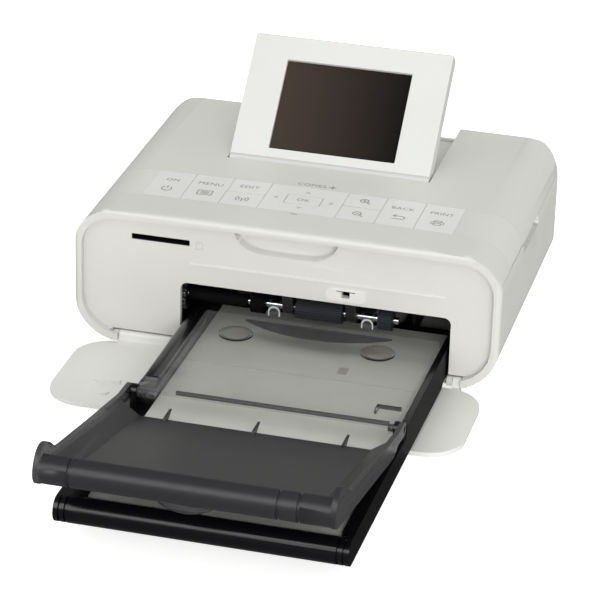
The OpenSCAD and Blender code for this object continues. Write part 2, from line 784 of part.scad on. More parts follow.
/* Key strip, keys and their board */

module key_strip() {
    color("#dad9d3") at_body() difference() {
        union() {
            intersection() {
                skin(0, strip_t);
                block([-half_w, strip_y0 + 0.1, strip_low + 0.3], [half_w, strip_y1 - 0.1, body_h]);
            }
            for (x = [-keys_half + 3, -18, 18, keys_half - 3], y = [strip_y0 + 3.2, strip_y1 - 3.2])
                translate([keys_x + x, y, board_h + board_t])
                    cylinder(h = body_h - board_h - board_t - 3.4, r = 1.1);
            for (s = [-1, 1]) translate([keys_x + s * (key_w + 0.2), mid_y, 0])
                block([-0.9, -1.6, nav_pivot_h - 1.2], [0.9, 1.6, body_h - frame_in - 0.6]);
        }
        difference() {
            block([keys_x - keys_half, strip_y0 - 1, strip_low], [keys_x + keys_half, strip_y1 + 1, body_h + 1]);
            body_form(frame_in, 5);
        }
        translate([keys_x, 0, 0]) {
            for (k = KEYS) translate([k[0], k[1], board_h + 2]) cylinder(h = 9, r = stem_r + 0.3);
            level_plate(-key_w + 1.2, key_w - 1.2, strip_y0 + 3, strip_y1 - 3, 2, board_h + 3, body_h);
            for (s = [-1, 1]) rod_x(s * (key_w + 0.2) - 2, s * (key_w + 0.2) + 2, mid_y, nav_pivot_h, 0.6 + run_gap);
        }
    }
}

// Key centres and sizes: x, y, width, depth
half_d = strip_d / 2;
KEYS = [
    [-3.5 * key_w, mid_y, key_w, strip_d],
    [-2.5 * key_w, mid_y, key_w, strip_d],
    [-1.5 * key_w, mid_y + half_d / 2, key_w, half_d],
    [-1.5 * key_w, mid_y - half_d / 2, key_w, half_d],
    [1.5 * key_w, mid_y + half_d / 2, key_w, half_d],
    [1.5 * key_w, mid_y - half_d / 2, key_w, half_d],
    [2.5 * key_w, mid_y, key_w, strip_d],
    [3.5 * key_w, mid_y, key_w, strip_d]
];

module key_cap(k) {
    w = k[2] / 2 - key_gap / 2;
    d = k[3] / 2 - key_gap;
    intersection() {
        level_plate(k[0] - w, k[0] + w, k[1] - d, k[1] + d, 0.4, strip_low, body_h);
        skin(0, key_t);
    }
    key_stem(k[0], k[1]);
}

// Round stem from the underside of the housing's skin down to the switch
module key_stem(x, y) {
    intersection() {
        translate([x, y, board_h + board_t + dome_h]) cylinder(h = body_h - board_h, r = stem_r);
        body_form(key_t - 0.2);
    }
}

module key(i) {
    color("#e0dfda") at_keys() key_cap(KEYS[i]);
}

module key_power() { key(0); }
module key_menu() { key(1); }
module key_edit() { key(2); }
module key_wireless() { key(3); }
module key_zoom_in() { key(4); }
module key_zoom_out() { key(5); }
module key_back() { key(6); }
module key_print() { key(7); }

module key_ok() {
    color("#e4e3de") at_keys() {
        intersection() {
            level_plate(-ok_w / 2, ok_w / 2, mid_y - ok_d / 2, mid_y + ok_d / 2, 1.2, strip_low, body_h);
            skin(0, key_t);
        }
        key_stem(0, mid_y);
    }
}

module nav_plate() {
    w = key_w - key_gap / 2;
    d = strip_d / 2 - key_gap;
    color("#e0dfda") at_keys() difference() {
        union() {
            intersection() {
                level_plate(-w, w, mid_y - d, mid_y + d, 0.4, strip_low, body_h);
                skin(0, key_t);
            }
            for (s = [-1, 1]) translate([0, mid_y + s * (ok_d / 2 + 2.6), 0])
                block([-1.6, -0.6, nav_pivot_h - 1.2], [1.6, 0.6, body_h - key_t]);
            for (d = [[nav_dx, 0], [-nav_dx, 0], [0, nav_dy], [0, -nav_dy]])
                translate([d[0], mid_y + d[1], board_h + board_t + dome_h]) cylinder(h = body_h - board_h - board_t
                    - dome_h - key_t, r = 1);
        }
        level_plate(-ok_w / 2 - 0.3, ok_w / 2 + 0.3, mid_y - ok_d / 2 - 0.3, mid_y + ok_d / 2 + 0.3, 1.4,
            body_h - key_t - 1, body_h + 1);
        for (s = [-1, 1]) rod_y(mid_y + s * (ok_d / 2 + 2.6) - 2, mid_y + s * (ok_d / 2 + 2.6) + 2, 0,
            nav_pivot_h, 0.6 + run_gap);
    }
}

// Rocker ring under the plate, with two pairs of trunnions
module nav_gimbal() {
    hx = key_w - 1.5;
    hy = ok_d / 2 + 1.6;
    color("#9a9c9e") at_keys() {
        difference() {
            level_plate(-hx, hx, mid_y - hy, mid_y + hy, 1.5, nav_pivot_h - 0.8, nav_pivot_h + 0.8);
            level_plate(-hx + 1.4, hx - 1.4, mid_y - hy + 1.2, mid_y + hy - 1.2, 1, nav_pivot_h - 2, nav_pivot_h + 2);
        }
        for (s = [-1, 1]) {
            rod_x(s * hx - (s < 0 ? 2.8 : 0), s * hx + (s < 0 ? 0 : 2.8), mid_y, nav_pivot_h, 0.6);
            rod_y(mid_y + s * hy - (s < 0 ? 2 : 0), mid_y + s * hy + (s < 0 ? 0 : 2), 0, nav_pivot_h, 0.6);
        }
    }
}

module key_board() {
    color("#2f6b45") at_keys() {
        level_plate(-keys_half - 1, keys_half + 1, strip_y0 + 1.2, strip_y1 - 1.2, 1.5, board_h, board_h + board_t);
        for (k = KEYS) translate([k[0], k[1], board_h + board_t - eps]) cylinder(h = dome_h - 0.6, r = dome_r);
        translate([0, mid_y, board_h + board_t - eps]) cylinder(h = dome_h - 0.6, r = dome_r);
        for (s = [-1, 1]) {
            translate([0, mid_y + s * nav_dy, board_h + board_t - eps]) cylinder(h = dome_h - 0.6, r = dome_r);
            translate([s * nav_dx, mid_y, board_h + board_t - eps]) cylinder(h = dome_h - 0.6, r = dome_r);
        }
    }
}

/* Chassis, boards and sockets */

module chassis() {
    pl0 = plate_in - sheet_t;
    color("#aeb3b8") at_body() difference() {
        union() {
            block([pl0, chassis_y0, floor_h], [plate_in, chassis_y1, shelf_h + sheet_t]);
            block([plate_right, chassis_y0, floor_h], [plate_right + sheet_t, chassis_y1, plate_top]);
            block([pl0, chassis_y0, floor_h], [plate_right + sheet_t, chassis_y1, floor_h + sheet_t]);
            block([board_x0 - 1, chassis_y0, shelf_h], [plate_in, chassis_y1, shelf_h + sheet_t]);
            block([yoke_x, feed_y - 6, floor_h], [yoke_x + sheet_t, feed_y + 6, pinch_h + 3]);
            block([pl0, feed_y - 3, shelf_h], [plate_in, head_pivot_y + 4, head_pivot_h + 4]);
        }
        rod_x(plate_right - 1, plate_right + 3, take_up_y, take_up_h, tube_r + 0.8);
        rod_x(plate_right - 1, plate_right + 3, supply_y, spool_h, tube_r + 0.8);
        block([plate_right - 1, take_up_y, path_h + 1.4], [plate_right + 3, supply_y, path_h + 7]);
        for (x = [pl0 - 1, plate_right - 1]) {
            rod_x(x, x + sheet_t + 2, platen_y, platen_h, shaft_r + run_gap);
            rod_x(x, x + sheet_t + 2, head_pivot_y, head_pivot_h, 1.5 + run_gap);
        }
        for (x = [pl0 - 1, yoke_x - 1, plate_right - 1]) rod_x(x, x + sheet_t + 2, feed_y, feed_h, shaft_r + run_gap);
        for (x = [yoke_x - 1, plate_right - 1]) rod_x(x, x + sheet_t + 2, feed_y, pinch_h, 1.2 + run_gap);
        rod_x(pl0 - 1, plate_in + 1, idler_y, idler_h, 1.5 + run_gap);
        rod_x(pl0 - 1, plate_in + 1, pinion_y, pinion_h, 1.2 + run_gap);
        rod_x(pl0 - 1, plate_in + 1, take_up_y, take_up_h, 2 + run_gap);
        rod_x(pl0 - 1, plate_in + 1, supply_y, spool_h, 2 + run_gap);
        for (k = [0 : 4]) level_plate(-36 + k * 21, -22 + k * 21, chassis_y0 + 6, chassis_y0 + 24, 3, 0, floor_h + 4);
    }
}

module paper_guides() {
    x0 = roller_x0;
    x1 = roller_x0 + platen_l;
    top = path_h - 0.4;
    base = floor_h + sheet_t;
    color("#232326") at_body() {
        wall_x(x0, x1, [[chassis_y0 + 2, tray_rear_low + 8], [chassis_y0 + 4, tray_rear_low + 8],
            [platen_y - platen_r - 1.5, top - guide_t], [platen_y - platen_r - 1.5, top],
            [platen_y - platen_r - 5, top]]);
        for (k = [0 : 5]) let (x = x0 + k * (x1 - x0 - 1.5) / 5)
            wall_x(x, x + 1.5, [[chassis_y0 + 3, base], [platen_y - platen_r - 3, base],
                [platen_y - platen_r - 3, top - 1.6], [chassis_y0 + 3, tray_rear_low + 8.2]]);
        level_plate(x0, x1, feed_y + feed_r + 1.5, back_y - wall - 2, 1, top - guide_t, top);
        for (k = [0 : 5]) let (x = x0 + k * (x1 - x0 - 1.5) / 5)
            block([x, feed_y + feed_r + 3, base], [x + 1.5, chassis_y1 - 1, top - guide_t + eps]);
    }
}

module paper_tunnel() {
    y0 = face_back + 0.5;
    y1 = tray_y1;
    w = 1.6;
    x0 = open_left - 2;
    x1 = open_right + 0.2;
    color("#161619") at_body() difference() {
        union() {
            block([x0 - w, y0, floor_h], [x0, y1, pick_pinion_h + 4]);
            block([x1, y0, floor_h], [x1 + w, y1, open_top + w]);
            block([x0 - w, y0, open_top + 0.2], [x1 + w, y1, open_top + w + 0.2]);
            for (k = [0 : 7]) block([open_left + 8 + k * 14, y1 - 8, inner_rail_top + 10],
                [open_left + 9.2 + k * 14, y1, open_top + 1]);
        }
        rod_x(x0 - w - 1, x0 + 1, pick_y, pick_h, pick_shaft_r + run_gap);
        rod_x(x0 - w - 1, x0 + 1, pick_pinion_y, pick_pinion_h, 1.2 + run_gap);
        block([x0, pick_pinion_y - 6.5, open_top], [x0 + 3.2, pick_pinion_y + 6.5, open_top + w + 1]);
    }
}

// Hangers that carry the pick-up shaft
module pickup_bracket() {
    color("#1c1c1f") at_body() difference() {
        union() {
            for (x = pick_hangers) wall_x(x, x + hanger_w, concat(
                [[pick_y + 3.4, open_top + 0.2], [pick_y - 3.4, open_top + 0.2]],
                arc_pts(pick_y, pick_h, 3.2, 180, 360, 10)));
            block([pick_hangers[0], pick_y - 3.4, open_top - 1.6],
                [pick_hangers[1] + hanger_w, pick_y + 3.4, open_top + 0.2]);
        }
        for (x = pick_hangers) rod_x(x - 1, x + hanger_w + 1, pick_y, pick_h, pick_shaft_r + run_gap);
    }
}
hanger_w = 4.6;
pick_hangers = [open_x - 15.6, open_x + 11.5];

// Clear guide loops that hang on the pick-up shaft
module paper_clips() {
    w = 5.2;
    t = 0.6;
    y0 = pick_y - pick_shaft_r - 1.2;
    color("#c9cdd2") at_body()
        for (x = [open_x - 21.8, open_x + 18.3]) difference() {
            union() {
                for (end = [x, x + w - t]) rod_x(end, end + t, pick_y, pick_h, pick_shaft_r + t);
                face_plate(x, x + w, pick_h - 4.3, pick_h + 0.3, w / 2 - 0.05, y0, y0 + 0.9);
                block([x, y0, pick_h - 4.3], [x + w, y0 + 0.9, pick_h - 2]);
            }
            rod_x(x - 1, x + w + 1, pick_y, pick_h, pick_shaft_r + run_gap);
            face_plate(x + t, x + w - t, pick_h - 7, pick_h - t, w / 2 - t - 0.05, y0 - 1, y0 + 0.5);
        }
}

module feed_motor() {
    color("#9ea3a8") at_body() difference() {
        union() {
            rod_x(motor_x, plate_in - sheet_t, pinion_y, pinion_h, 7.6);
            rod_x(motor_x - 2, motor_x + eps, pinion_y, pinion_h, 3);
        }
        rod_x(motor_x + 1, plate_in, pinion_y, pinion_h, 1.2 + run_gap);
    }
}

module pickup_motor() {
    x1 = open_left - 3.6;
    color("#9ea3a8") at_body() difference() {
        union() {
            rod_x(pick_motor_x, x1, pick_pinion_y, pick_pinion_h, 7);
            rod_x(pick_motor_x - 2, pick_motor_x + eps, pick_pinion_y, pick_pinion_h, 2.6);
        }
        rod_x(pick_motor_x + 1, x1 + 5, pick_pinion_y, pick_pinion_h, 1.2 + run_gap);
    }
}

module main_board() {
    h = shelf_h + sheet_t;
    color("#2d6a44") at_body() {
        level_plate(board_x0, board_x1, face_back + 0.5, chassis_y1 - 6, 2, h, h + board_t);
        level_plate(board_x1 - board_tongue, slot_x + slot_w / 2 + 2, face_back + 0.5, chassis_y0 - 2,
            1, h, h + board_t);
        block([board_x0 + 3, -24, h + board_t - eps], [(board_x0 + board_x1) / 2 + 4, -6, h + 3.6]);
        block([board_x0 + 3, 4, h + board_t - eps], [(board_x0 + board_x1) / 2 - 3, 18, h + 3]);
        for (k = [0 : 3]) translate([board_x1 - 6, 4 + k * 9, h + board_t - eps]) cylinder(h = 5, r = 3);
    }
}

module card_socket() {
    h = shelf_h + sheet_t + board_t;
    w = slot_w / 2;
    g = slot_gap / 2;
    color("#1d1d20") at_body() difference() {
        union() {
            block([slot_x - w - 2, face_back, h], [slot_x + w + 2, face_back + 28, slot_h + g + 1.2]);
            block([slot_x - w + 0.05, face_y + 0.3, slot_h - g + 0.05],
                [slot_x + w - 0.05, face_back + eps, slot_h + g - 0.05]);
        }
        block([slot_x - w + 0.3, face_y - 1, slot_h - g + 0.25], [slot_x + w - 0.3, face_back + 25, slot_h + g - 0.25]);
    }
}

module usb_port() {
    rear = back_y - wall;
    mid = (port_low + port_top) / 2;
    color("#b4b7ba") at_body() difference() {
        block([socket_x, rear - port_depth, port_low], [socket_x + port_w, rear - panel_seat, port_top]);
        block([socket_x + port_wall, rear - port_depth + 2, port_low + port_wall],
            [socket_x + port_w - port_wall, back_y, port_top - port_wall]);
    }
    color("#b4b7ba") at_body()
        block([socket_x + 2, rear - port_depth + 1, mid - 0.5], [socket_x + port_w - 2, rear - 3, mid + 0.5]);
}

module power_jack() {
    rear = back_y - wall;
    color("#1b1b1d") at_body() {
        difference() {
            block([socket_x - jack_side, rear - port_depth, jack_h - jack_rise],
                [socket_x + jack_side, rear - panel_seat, jack_h + jack_rise]);
            rod_y(rear - port_depth + 2, back_y, socket_x, jack_h, jack_r);
        }
        rod_y(rear - port_depth + 1, rear - 2.5, socket_x, jack_h, 0.9);
    }
}

/* Ink cassette */

module ink_case() {
    color("#2b2b30") at_body() difference() {
        union() {
            for (c = [[take_up_y, take_up_h], [supply_y, spool_h]])
                rod_x(ink_x0, ink_x1, c[0], c[1], tube_r);
            for (x = [ink_x0, ink_x1 - ink_end])
                block([x, take_up_y, pinch_h + pinch_r - 0.4], [x + ink_end, supply_y, pinch_h + pinch_r + 3]);
        }
        for (c = [[take_up_y, take_up_h], [supply_y, spool_h]]) {
            rod_x(ink_x0 + ink_end, ink_x1 - ink_end, c[0], c[1], tube_r - tube_wall);
            rod_x(ink_x0 - 1, ink_x1 + 1, c[0], c[1], 3 + run_gap);
        }
        block([ink_x0 + ink_end, take_up_y + 3, path_h], [ink_x1 - ink_end, supply_y - 3, take_up_h + 4]);
    }
}

module ink_ribbon() {
    t = 0.1;
    lo = path_h + 0.6;
    a = [take_up_y + 3, take_up_h - 5.2];
    b = [platen_y - 2.5, lo];
    c = [platen_y + 2.5, lo];
    d = [platen_y + 11.5, path_h + 6.4];
    e = [supply_y - 5, spool_h - 7.2];
    color("#6b3f6e") at_body()
        wall_x(head_x0 + 1, ink_x1 - 4, [a, b, c, d, e, e + [0, t], d + [0, t], c + [0, t], b + [0, t], a + [0, t]]);
}

module take_up_spool() {
    color("#e2e2e0") at_body() {
        rod_x(gear_x + gear_w - eps, ink_x1 - 0.4, take_up_y, take_up_h, 3);
        rod_x(plate_in - sheet_t, gear_x + eps, take_up_y, take_up_h, 2);
        for (x = [ink_x0 + 2, ink_x1 - 3.4]) rod_x(x, x + 1, take_up_y, take_up_h, 8);
        rod_x(ink_x0 + 3 - eps, ink_x1 - 3.4 + eps, take_up_y, take_up_h, 5);
        gear_x_at(take_up_n, gear_w, take_up_y, take_up_h, phase_take_up, gear_x);
    }
}

module supply_spool() {
    color("#e2e2e0") at_body() {
        rod_x(plate_in - sheet_t, ink_x0 + 2, supply_y, spool_h, 2);
        rod_x(ink_x0, ink_x1 - 0.4, supply_y, spool_h, 3);
        for (x = [ink_x0 + 2, ink_x1 - 3.4]) rod_x(x, x + 1, supply_y, spool_h, 9);
        rod_x(ink_x0 + 3 - eps, ink_x1 - 3.4 + eps, supply_y, spool_h, 7);
    }
}

/* Gears */

function involute(r, rb) = let (a = acos(min(1, rb / r))) (tan(a) - a * PI / 180) * 180 / PI;

function gear_pts(n, m, phase) =
    let (r = m * n / 2, rb = r * cos(20), ra = r + 0.92 * m, rr = r - 1.25 * m,
        r1 = max(rb, rr + 0.15 * m), r2 = (r1 + ra) / 2,
        half = 90 / n - 0.06 / r * 180 / PI + involute(r, rb))
    [for (k = [0 : n - 1]) let (a = phase + 360 * k / n)
        for (p = [[rr, -half - 0.4 / r * 20 + involute(r1, rb)], [r1, -half + involute(r1, rb)],
            [r2, -half + involute(r2, rb)], [ra, -half + involute(ra, rb)],
            [ra, half - involute(ra, rb)], [r2, half - involute(r2, rb)],
            [r1, half - involute(r1, rb)], [rr, half + 0.4 / r * 20 - involute(r1, rb)]])
            [p[0] * cos(a + p[1]), p[0] * sin(a + p[1])]];

module gear_x_at(n, w, y, h, phase, x0) {
    translate([x0, y, h]) rotate([90, 0, 90]) linear_extrude(w) polygon(gear_pts(n, gear_mod, phase));
}

// Turn of a gear that meshes with one already set, from the direction between their axes
function meshed(dir, n_set, phase_set, n) = dir + 180 - ((phase_set - dir) * n_set + 180) / n;

dir_feed = atan2(feed_h - idler_h, feed_y - idler_y);
dir_platen = atan2(platen_h - idler_h, platen_y - idler_y);
phase_feed = meshed(dir_feed, idler_n, 0, roller_n);
phase_platen = meshed(dir_platen, idler_n, 0, roller_n);
phase_pinion = meshed(pinion_dir, idler_n, 0, pinion_n);
phase_take_up = meshed(take_up_dir, pinion_n, phase_pinion, take_up_n);
phase_pick_pinion = meshed(pick_dir, pick_n, 0, pinion_n);

module idler_gear() {
    color("#e9e6da") at_body() {
        gear_x_at(idler_n, gear_w, idler_y, idler_h, 0, gear_x);
        rod_x(plate_in - sheet_t, gear_x + eps, idler_y, idler_h, 1.5);
    }
}

module motor_pinion() {
    color("#d9c07a") at_body() {
        gear_x_at(pinion_n, gear_w, pinion_y, pinion_h, phase_pinion, gear_x);
        rod_x(motor_x + 2, gear_x + eps, pinion_y, pinion_h, 1.2);
    }
}

/* Rollers */

module platen_roller() {
    color("#2a2a2c") at_body() {
        rod_x(roller_x0, roller_x0 + platen_l, platen_y, platen_h, platen_r);
        rod_x(gear_x + gear_w - eps, plate_right + sheet_t, platen_y, platen_h, shaft_r);
        rod_x(plate_in - sheet_t, gear_x + eps, platen_y, platen_h, shaft_r);
        gear_x_at(roller_n, gear_w, platen_y, platen_h, phase_platen, gear_x);
    }
}

module feed_roller() {
    color("#b8bcc0") at_body() {
        rod_x(roller_x0, roller_x0 + platen_l, feed_y, feed_h, feed_r);
        rod_x(gear_x + gear_w - eps, plate_right + sheet_t, feed_y, feed_h, shaft_r);
        rod_x(plate_in - sheet_t, gear_x + eps, feed_y, feed_h, shaft_r);
        gear_x_at(roller_n, gear_w, feed_y, feed_h, phase_feed, gear_x);
    }
}

module pinch_roller() {
    color("#c4c7ca") at_body() {
        rod_x(roller_x0 + 2, roller_x0 + platen_l - 2, feed_y, pinch_h, pinch_r);
        rod_x(yoke_x, plate_right + sheet_t, feed_y, pinch_h, 1.2);
    }
}

module pickup_shaft() {
    x0 = open_left - 1.6;
    color("#c3c6c9") at_body() {
        rod_x(x0 + pick_gear_w - eps, open_x + 33.8, pick_y, pick_h, pick_shaft_r);
        rod_x(open_left - 3.6, x0 + eps, pick_y, pick_h, pick_shaft_r);
        gear_x_at(pick_n, pick_gear_w, pick_y, pick_h, 0, x0);
    }
}

// Ribbed rubber tyre about the pick-up shaft
module ribbed(x0, x1, r) {
    n = 26;
    translate([x0, pick_y, pick_h]) rotate([90, 0, 90]) linear_extrude(x1 - x0) difference() {
        polygon([for (k = [0 : n - 1]) for (s = [[-0.3, 0], [0.3, 0], [0.34, 0.4], [0.66, 0.4]])
            let (a = (k + s[0]) * 360 / n) (r - s[1]) * [cos(a), sin(a)]]);
        circle(r = pick_shaft_r);
    }
}

module pickup_rollers() {
    color("#3b3c42") at_body() {
        ribbed(open_x - 29.3, open_x - 23.4, pick_r);
        ribbed(open_x - 9.8, open_x + 10, pick_r);
        ribbed(open_x + 25.4, open_x + 31.3, pick_r);
        difference() {
            rod_x(open_left + 1.2, open_x - 31, pick_y, pick_h, 2.8);
            rod_x(open_left, open_x - 30, pick_y, pick_h, pick_shaft_r);
        }
    }
}

module pickup_pinion() {
    x0 = open_left - 1.6;
    color("#e9e6da") at_body() {
        gear_x_at(pinion_n, pick_gear_w, pick_pinion_y, pick_pinion_h, phase_pick_pinion, x0);
        rod_x(pick_motor_x + 2, x0 + eps, pick_pinion_y, pick_pinion_h, 1.2);
    }
}

/* Thermal head */

module head_heatsink() {
    color("#aab0b6") at_body() {
        block([head_x0, platen_y - 7, path_h + 5], [head_x1, platen_y + 8, path_h + 9]);
        for (k = [0 : 5]) block([head_x0, platen_y - 7 + k * 2.7, path_h + 9 - eps],
            [head_x1, platen_y - 5.6 + k * 2.7, path_h + 20]);
        for (x = [head_x0, head_x1 - 2]) wall_x(x, x + 2, [[platen_y + 6, path_h + 5], [platen_y + 12, path_h + 8],
            [head_pivot_y + 3, head_pivot_h - 2], [head_pivot_y + 2, head_pivot_h + 3],
            [head_pivot_y - 2, head_pivot_h + 3], [platen_y + 6, path_h + 12]]);
        rod_x(plate_in - sheet_t, plate_right + sheet_t, head_pivot_y, head_pivot_h, 1.5);
    }
}

module thermal_head() {
    color("#d8d4c8") at_body()
        wall_x(head_x0 + 1, head_x1 - 1, [[platen_y - 6, path_h + 5], [platen_y - 6, path_h + 3.2],
            [platen_y - 2, path_h + 1], [platen_y + 2, path_h + 1], [platen_y + 6, path_h + 3.2],
            [platen_y + 6, path_h + 5]]);
}

/* Paper cassette */

module at_tray() {
    at_body() translate([open_x, front_y, tray_front_low]) rotate([-tray_tilt, 0, 0])
        translate([0, -front_y, -tray_front_low]) children();
}

// Profile of the tray's floor, from height up above its underside to up + t
function floor_pts(y0, y1, up, t) = [
    [y1, tray_rear_low + up], [front_y - 1.5, tray_rear_low + up], [front_y - 4, tray_front_low + up],
    [y0, tray_front_low + up], [y0, tray_front_low + up + t], [front_y - 4, tray_front_low + up + t],
    [front_y - 1.5, tray_rear_low + up + t], [y1, tray_rear_low + up + t]];

// Side rail of the tray with its rounded front end
module tray_side(x0, x1) {
    wall_x(x0, x1, concat(
        [[tray_y1, tray_rear_low], [tray_y1, rail_top], [step_y, rail_top], [step_y - 1.5, low_rail_top - rail_dip],
            [hinge_y - eye_r - 1, low_rail_top - rail_dip], [hinge_y - 30, low_rail_top]],
        arc_pts(tray_y0 + bar_r, tray_front_low + bar_r, bar_r, 90, 270, 12),
        [[front_y - 4, tray_front_low], [front_y - 1.5, tray_rear_low]]));
}

// Pivot block on a rail, from height h0 up round the hinge axis
module pivot_block(x0, x1, h0) {
    wall_x(x0, x1, concat([[hinge_y - eye_r, h0], [hinge_y + eye_r, h0]],
        arc_pts(hinge_y, lid_hinge_h, eye_r, 0, 180, 12)));
}

// Ring groove round the front end of the rails and bar
module end_groove(x) {
    difference() {
        block([x - 0.4, tray_y0 - 1, 0], [x + 0.4, tray_y0 + bar_r, low_rail_top + 1]);
        rod_x(x - 1, x + 1, tray_y0 + bar_r, tray_front_low + bar_r, bar_r - 0.9);
    }
}

module cassette_tray() {
    h = tray_half;
    in0 = -h + rail_l;
    in1 = h - rail_r;
    w = tray_wall;
    shelf = low_rail_top - rail_dip - w;
    color("#17171a") at_tray() {
        difference() {
            union() {
                tray_side(-h, in0);
                tray_side(in1, h);
                rod_x(in0 - eps, in1 + eps, tray_y0 + bar_r, tray_front_low + bar_r, bar_r - 0.02);
            }
            wall_x(-h + w, in0 - w, [[tray_y1 - w, 0], [tray_y1 - w, rail_top - rail_round],
                [step_y + 1, rail_top - rail_round], [step_y - 1.5, shelf], [tray_y0 + 9, shelf], [tray_y0 + 9, 0]]);
            difference() {
                block([-h - 1, step_y - 2, rail_top - rail_round], [-h + rail_round, tray_y1 + 1, rail_top + 1]);
                rod_y(step_y - 3, tray_y1 + 2, -h + rail_round, rail_top - rail_round, rail_round);
            }
            block([-h - 1, hinge_y + 9.6, rail_top - 3], [in0 + 1, hinge_y + 14.6, rail_top + 1]);
            for (s = [-1, 1]) mirror([s < 0 ? 1 : 0, 0, 0]) {
                block([eye_x, hinge_y - eye_r - 1.2, low_rail_top - rail_dip], [h + 1, step_y + 0.3, lid_hinge_h + 8]);
                end_groove(h - 2.2);
                end_groove(h - 4.6);
            }
        }
        pivot_block(-eye_x, -eye_x + post_l, low_rail_top - rail_dip - eps);
        pivot_block(eye_x - post_w, eye_x, paper_rest + paper_t + 0.2);
        block([eye_x - post_w, hinge_y - 6, paper_rest + paper_t + 0.2], [h - eps, hinge_y + 6, low_rail_top]);
        block([in1 - front_lip, tray_y0 + bar_d - 1, low_rail_top - 1.4], [in1 + eps, hinge_y - 32, low_rail_top]);
        rod_x(-h + 0.3, -eye_x + eps, hinge_y, lid_hinge_h, trunnion_r);
        rod_x(-eye_x + post_l - eps, inner_left + 3, hinge_y, lid_hinge_h, trunnion_r);
        rod_x(inner_right - arm_w - 0.2, eye_x - post_w + eps, hinge_y, lid_hinge_h, trunnion_r);
        rod_x(eye_x - eps, h - 0.3, hinge_y, lid_hinge_h, trunnion_r);
        difference() {
            wall_x(in0 - eps, in1 + eps, floor_pts(tray_y0 + 4, tray_y1, 0, 1.5));
            level_plate(-20, 20, tray_y1 - 20, tray_y1 - 6, 4, 0, 12);
        }
        for (x = [-36, -12, 12, 36]) wall_x(paper_x + x - 0.8, paper_x + x + 0.8, [
            [tray_y1 - 22, tray_rear_low + 1], [front_y - 1.5, tray_rear_low + 1], [front_y - 4, tray_front_low + 1],
            [tray_y0 + 6, tray_front_low + 1], [tray_y0 + 6, plate_rest], [tray_y1 - 22, plate_rest]]);
        block([in0 - eps, tray_y1 - w, tray_rear_low], [in1 + eps, tray_y1, inner_rail_top - 2]);
    }
}

module paper_stack() {
    y0 = tray_y0 + 2 * bar_r + 0.4;
    color("#c9c7bd") at_tray()
        block([paper_x - paper_w / 2, y0, paper_rest], [paper_x + paper_w / 2, y0 + paper_l, paper_rest + paper_t]);
}

module lift_plate() {
    w = paper_w / 2 - 4;
    color("#9da1a5") at_tray() translate([paper_x, 0, 0]) difference() {
        level_plate(-w, w, tray_y0 + 2 * bar_r + 2, tray_y1 - 28, 3, plate_rest, paper_rest);
        for (k = [-1, 0, 1]) level_plate(k * 28 - 5, k * 28 + 5, tray_y0 + 60, tray_y0 + 110, 4, 0, 20);
    }
}

// Hinge eye of the inner lid, joined to the panel above it
module inner_arm(x0, x1) {
    rod_x(x0, x1, hinge_y, lid_hinge_h, inner_eye_r);
    block([x0, inner_front_y, lid_hinge_h + 0.6], [x1, hinge_y + 1.4, inner_top - 0.1]);
}

module inner_lid() {
    x0 = -tray_half + rail_l + lid_side;
    x1 = tray_half - rail_r - lid_side;
    low = inner_top - lid_t;
    color("#6f7278", 0.5) at_tray() difference() {
        union() {
            level_plate(x0, x1, inner_front_y, inner_rear_y, 0.8, low, inner_top);
            inner_arm(inner_left, x0 + 2);
            inner_arm(inner_right - arm_w, inner_right);
            level_plate(inner_left, x0 + 2, inner_front_y, hinge_y + 9, 0.6, low, inner_top);
            for (x = [x0, x1 - 1.2])
                block([x, inner_front_y + 8, rail_top - 2.4], [x + 1.2, inner_rear_y - 4, low + eps]);
            block([x0 + 9.5, hinge_y + 2.2, low - 1.5], [x1 - 4, hinge_y + 3.4, low + eps]);
            for (x = ring_places) translate([x, inner_rear_y - 19.3, inner_top - eps]) difference() {
                cylinder(h = 0.7, r = 7);
                translate([0, 0, -1]) cylinder(h = 3, r = 5.8);
            }
            intersection() {
                translate([2, inner_rear_y + 43.5, low - 0.8]) cylinder(h = 0.9, r = 54, $fn = 96);
                block([x0, inner_rear_y - 14, low - 0.8], [x1, inner_rear_y - 0.4, low + eps]);
            }
        }
        for (x = [inner_left - 1, inner_right - arm_w - 1])
            rod_x(x, x + 5, hinge_y, lid_hinge_h, trunnion_r + run_gap);
        block([inner_right, inner_front_y - 1, low - 2], [x1 + 1, hinge_y + eye_r + 0.6, inner_top + 1]);
        level_plate(x1 - 11.5, x1 - 1.5, hinge_y + 13, hinge_y + 14, 0.4, low - 1, inner_top + 1);
        level_plate(x1 - 11.5, x1 - 10.5, hinge_y + 8, hinge_y + 14, 0.4, low - 1, inner_top + 1);
        level_plate(x0 - 1, x1 + 1, inner_front_y + 32, inner_front_y + 33, 0.2, inner_top - 0.3, inner_top + 1);
    }
}
// Side cheek of the outer lid, about the hinge, from eye to rolled lip
module lid_cheek(x0, x1) {
    low = -lid_sink - lid_t;
    l = lid_l;
    wall_x(x0, x1, concat(
        arc_pts(0, 0, eye_r, 90, -90, 8),
        [[-9, -3.6], [-16, low + 0.6], [-30, low]],
        arc_pts(-l, lip_w, cheek_r, 270, 180, 6),
        bezier([[-l - cheek_r, lip_w], [-l - cheek_r, lip_w + 4.5], [-l - 3, 4.9], [-l + 2.2, 4.9]], 6),
        bezier([[-l + 2.2, 4.9], [-l + 10, 4.9], [-l + 11, -0.9], [-l + 22, -0.7]], 8),
        [[-l + 60, 0], [-12, 1]]));
}

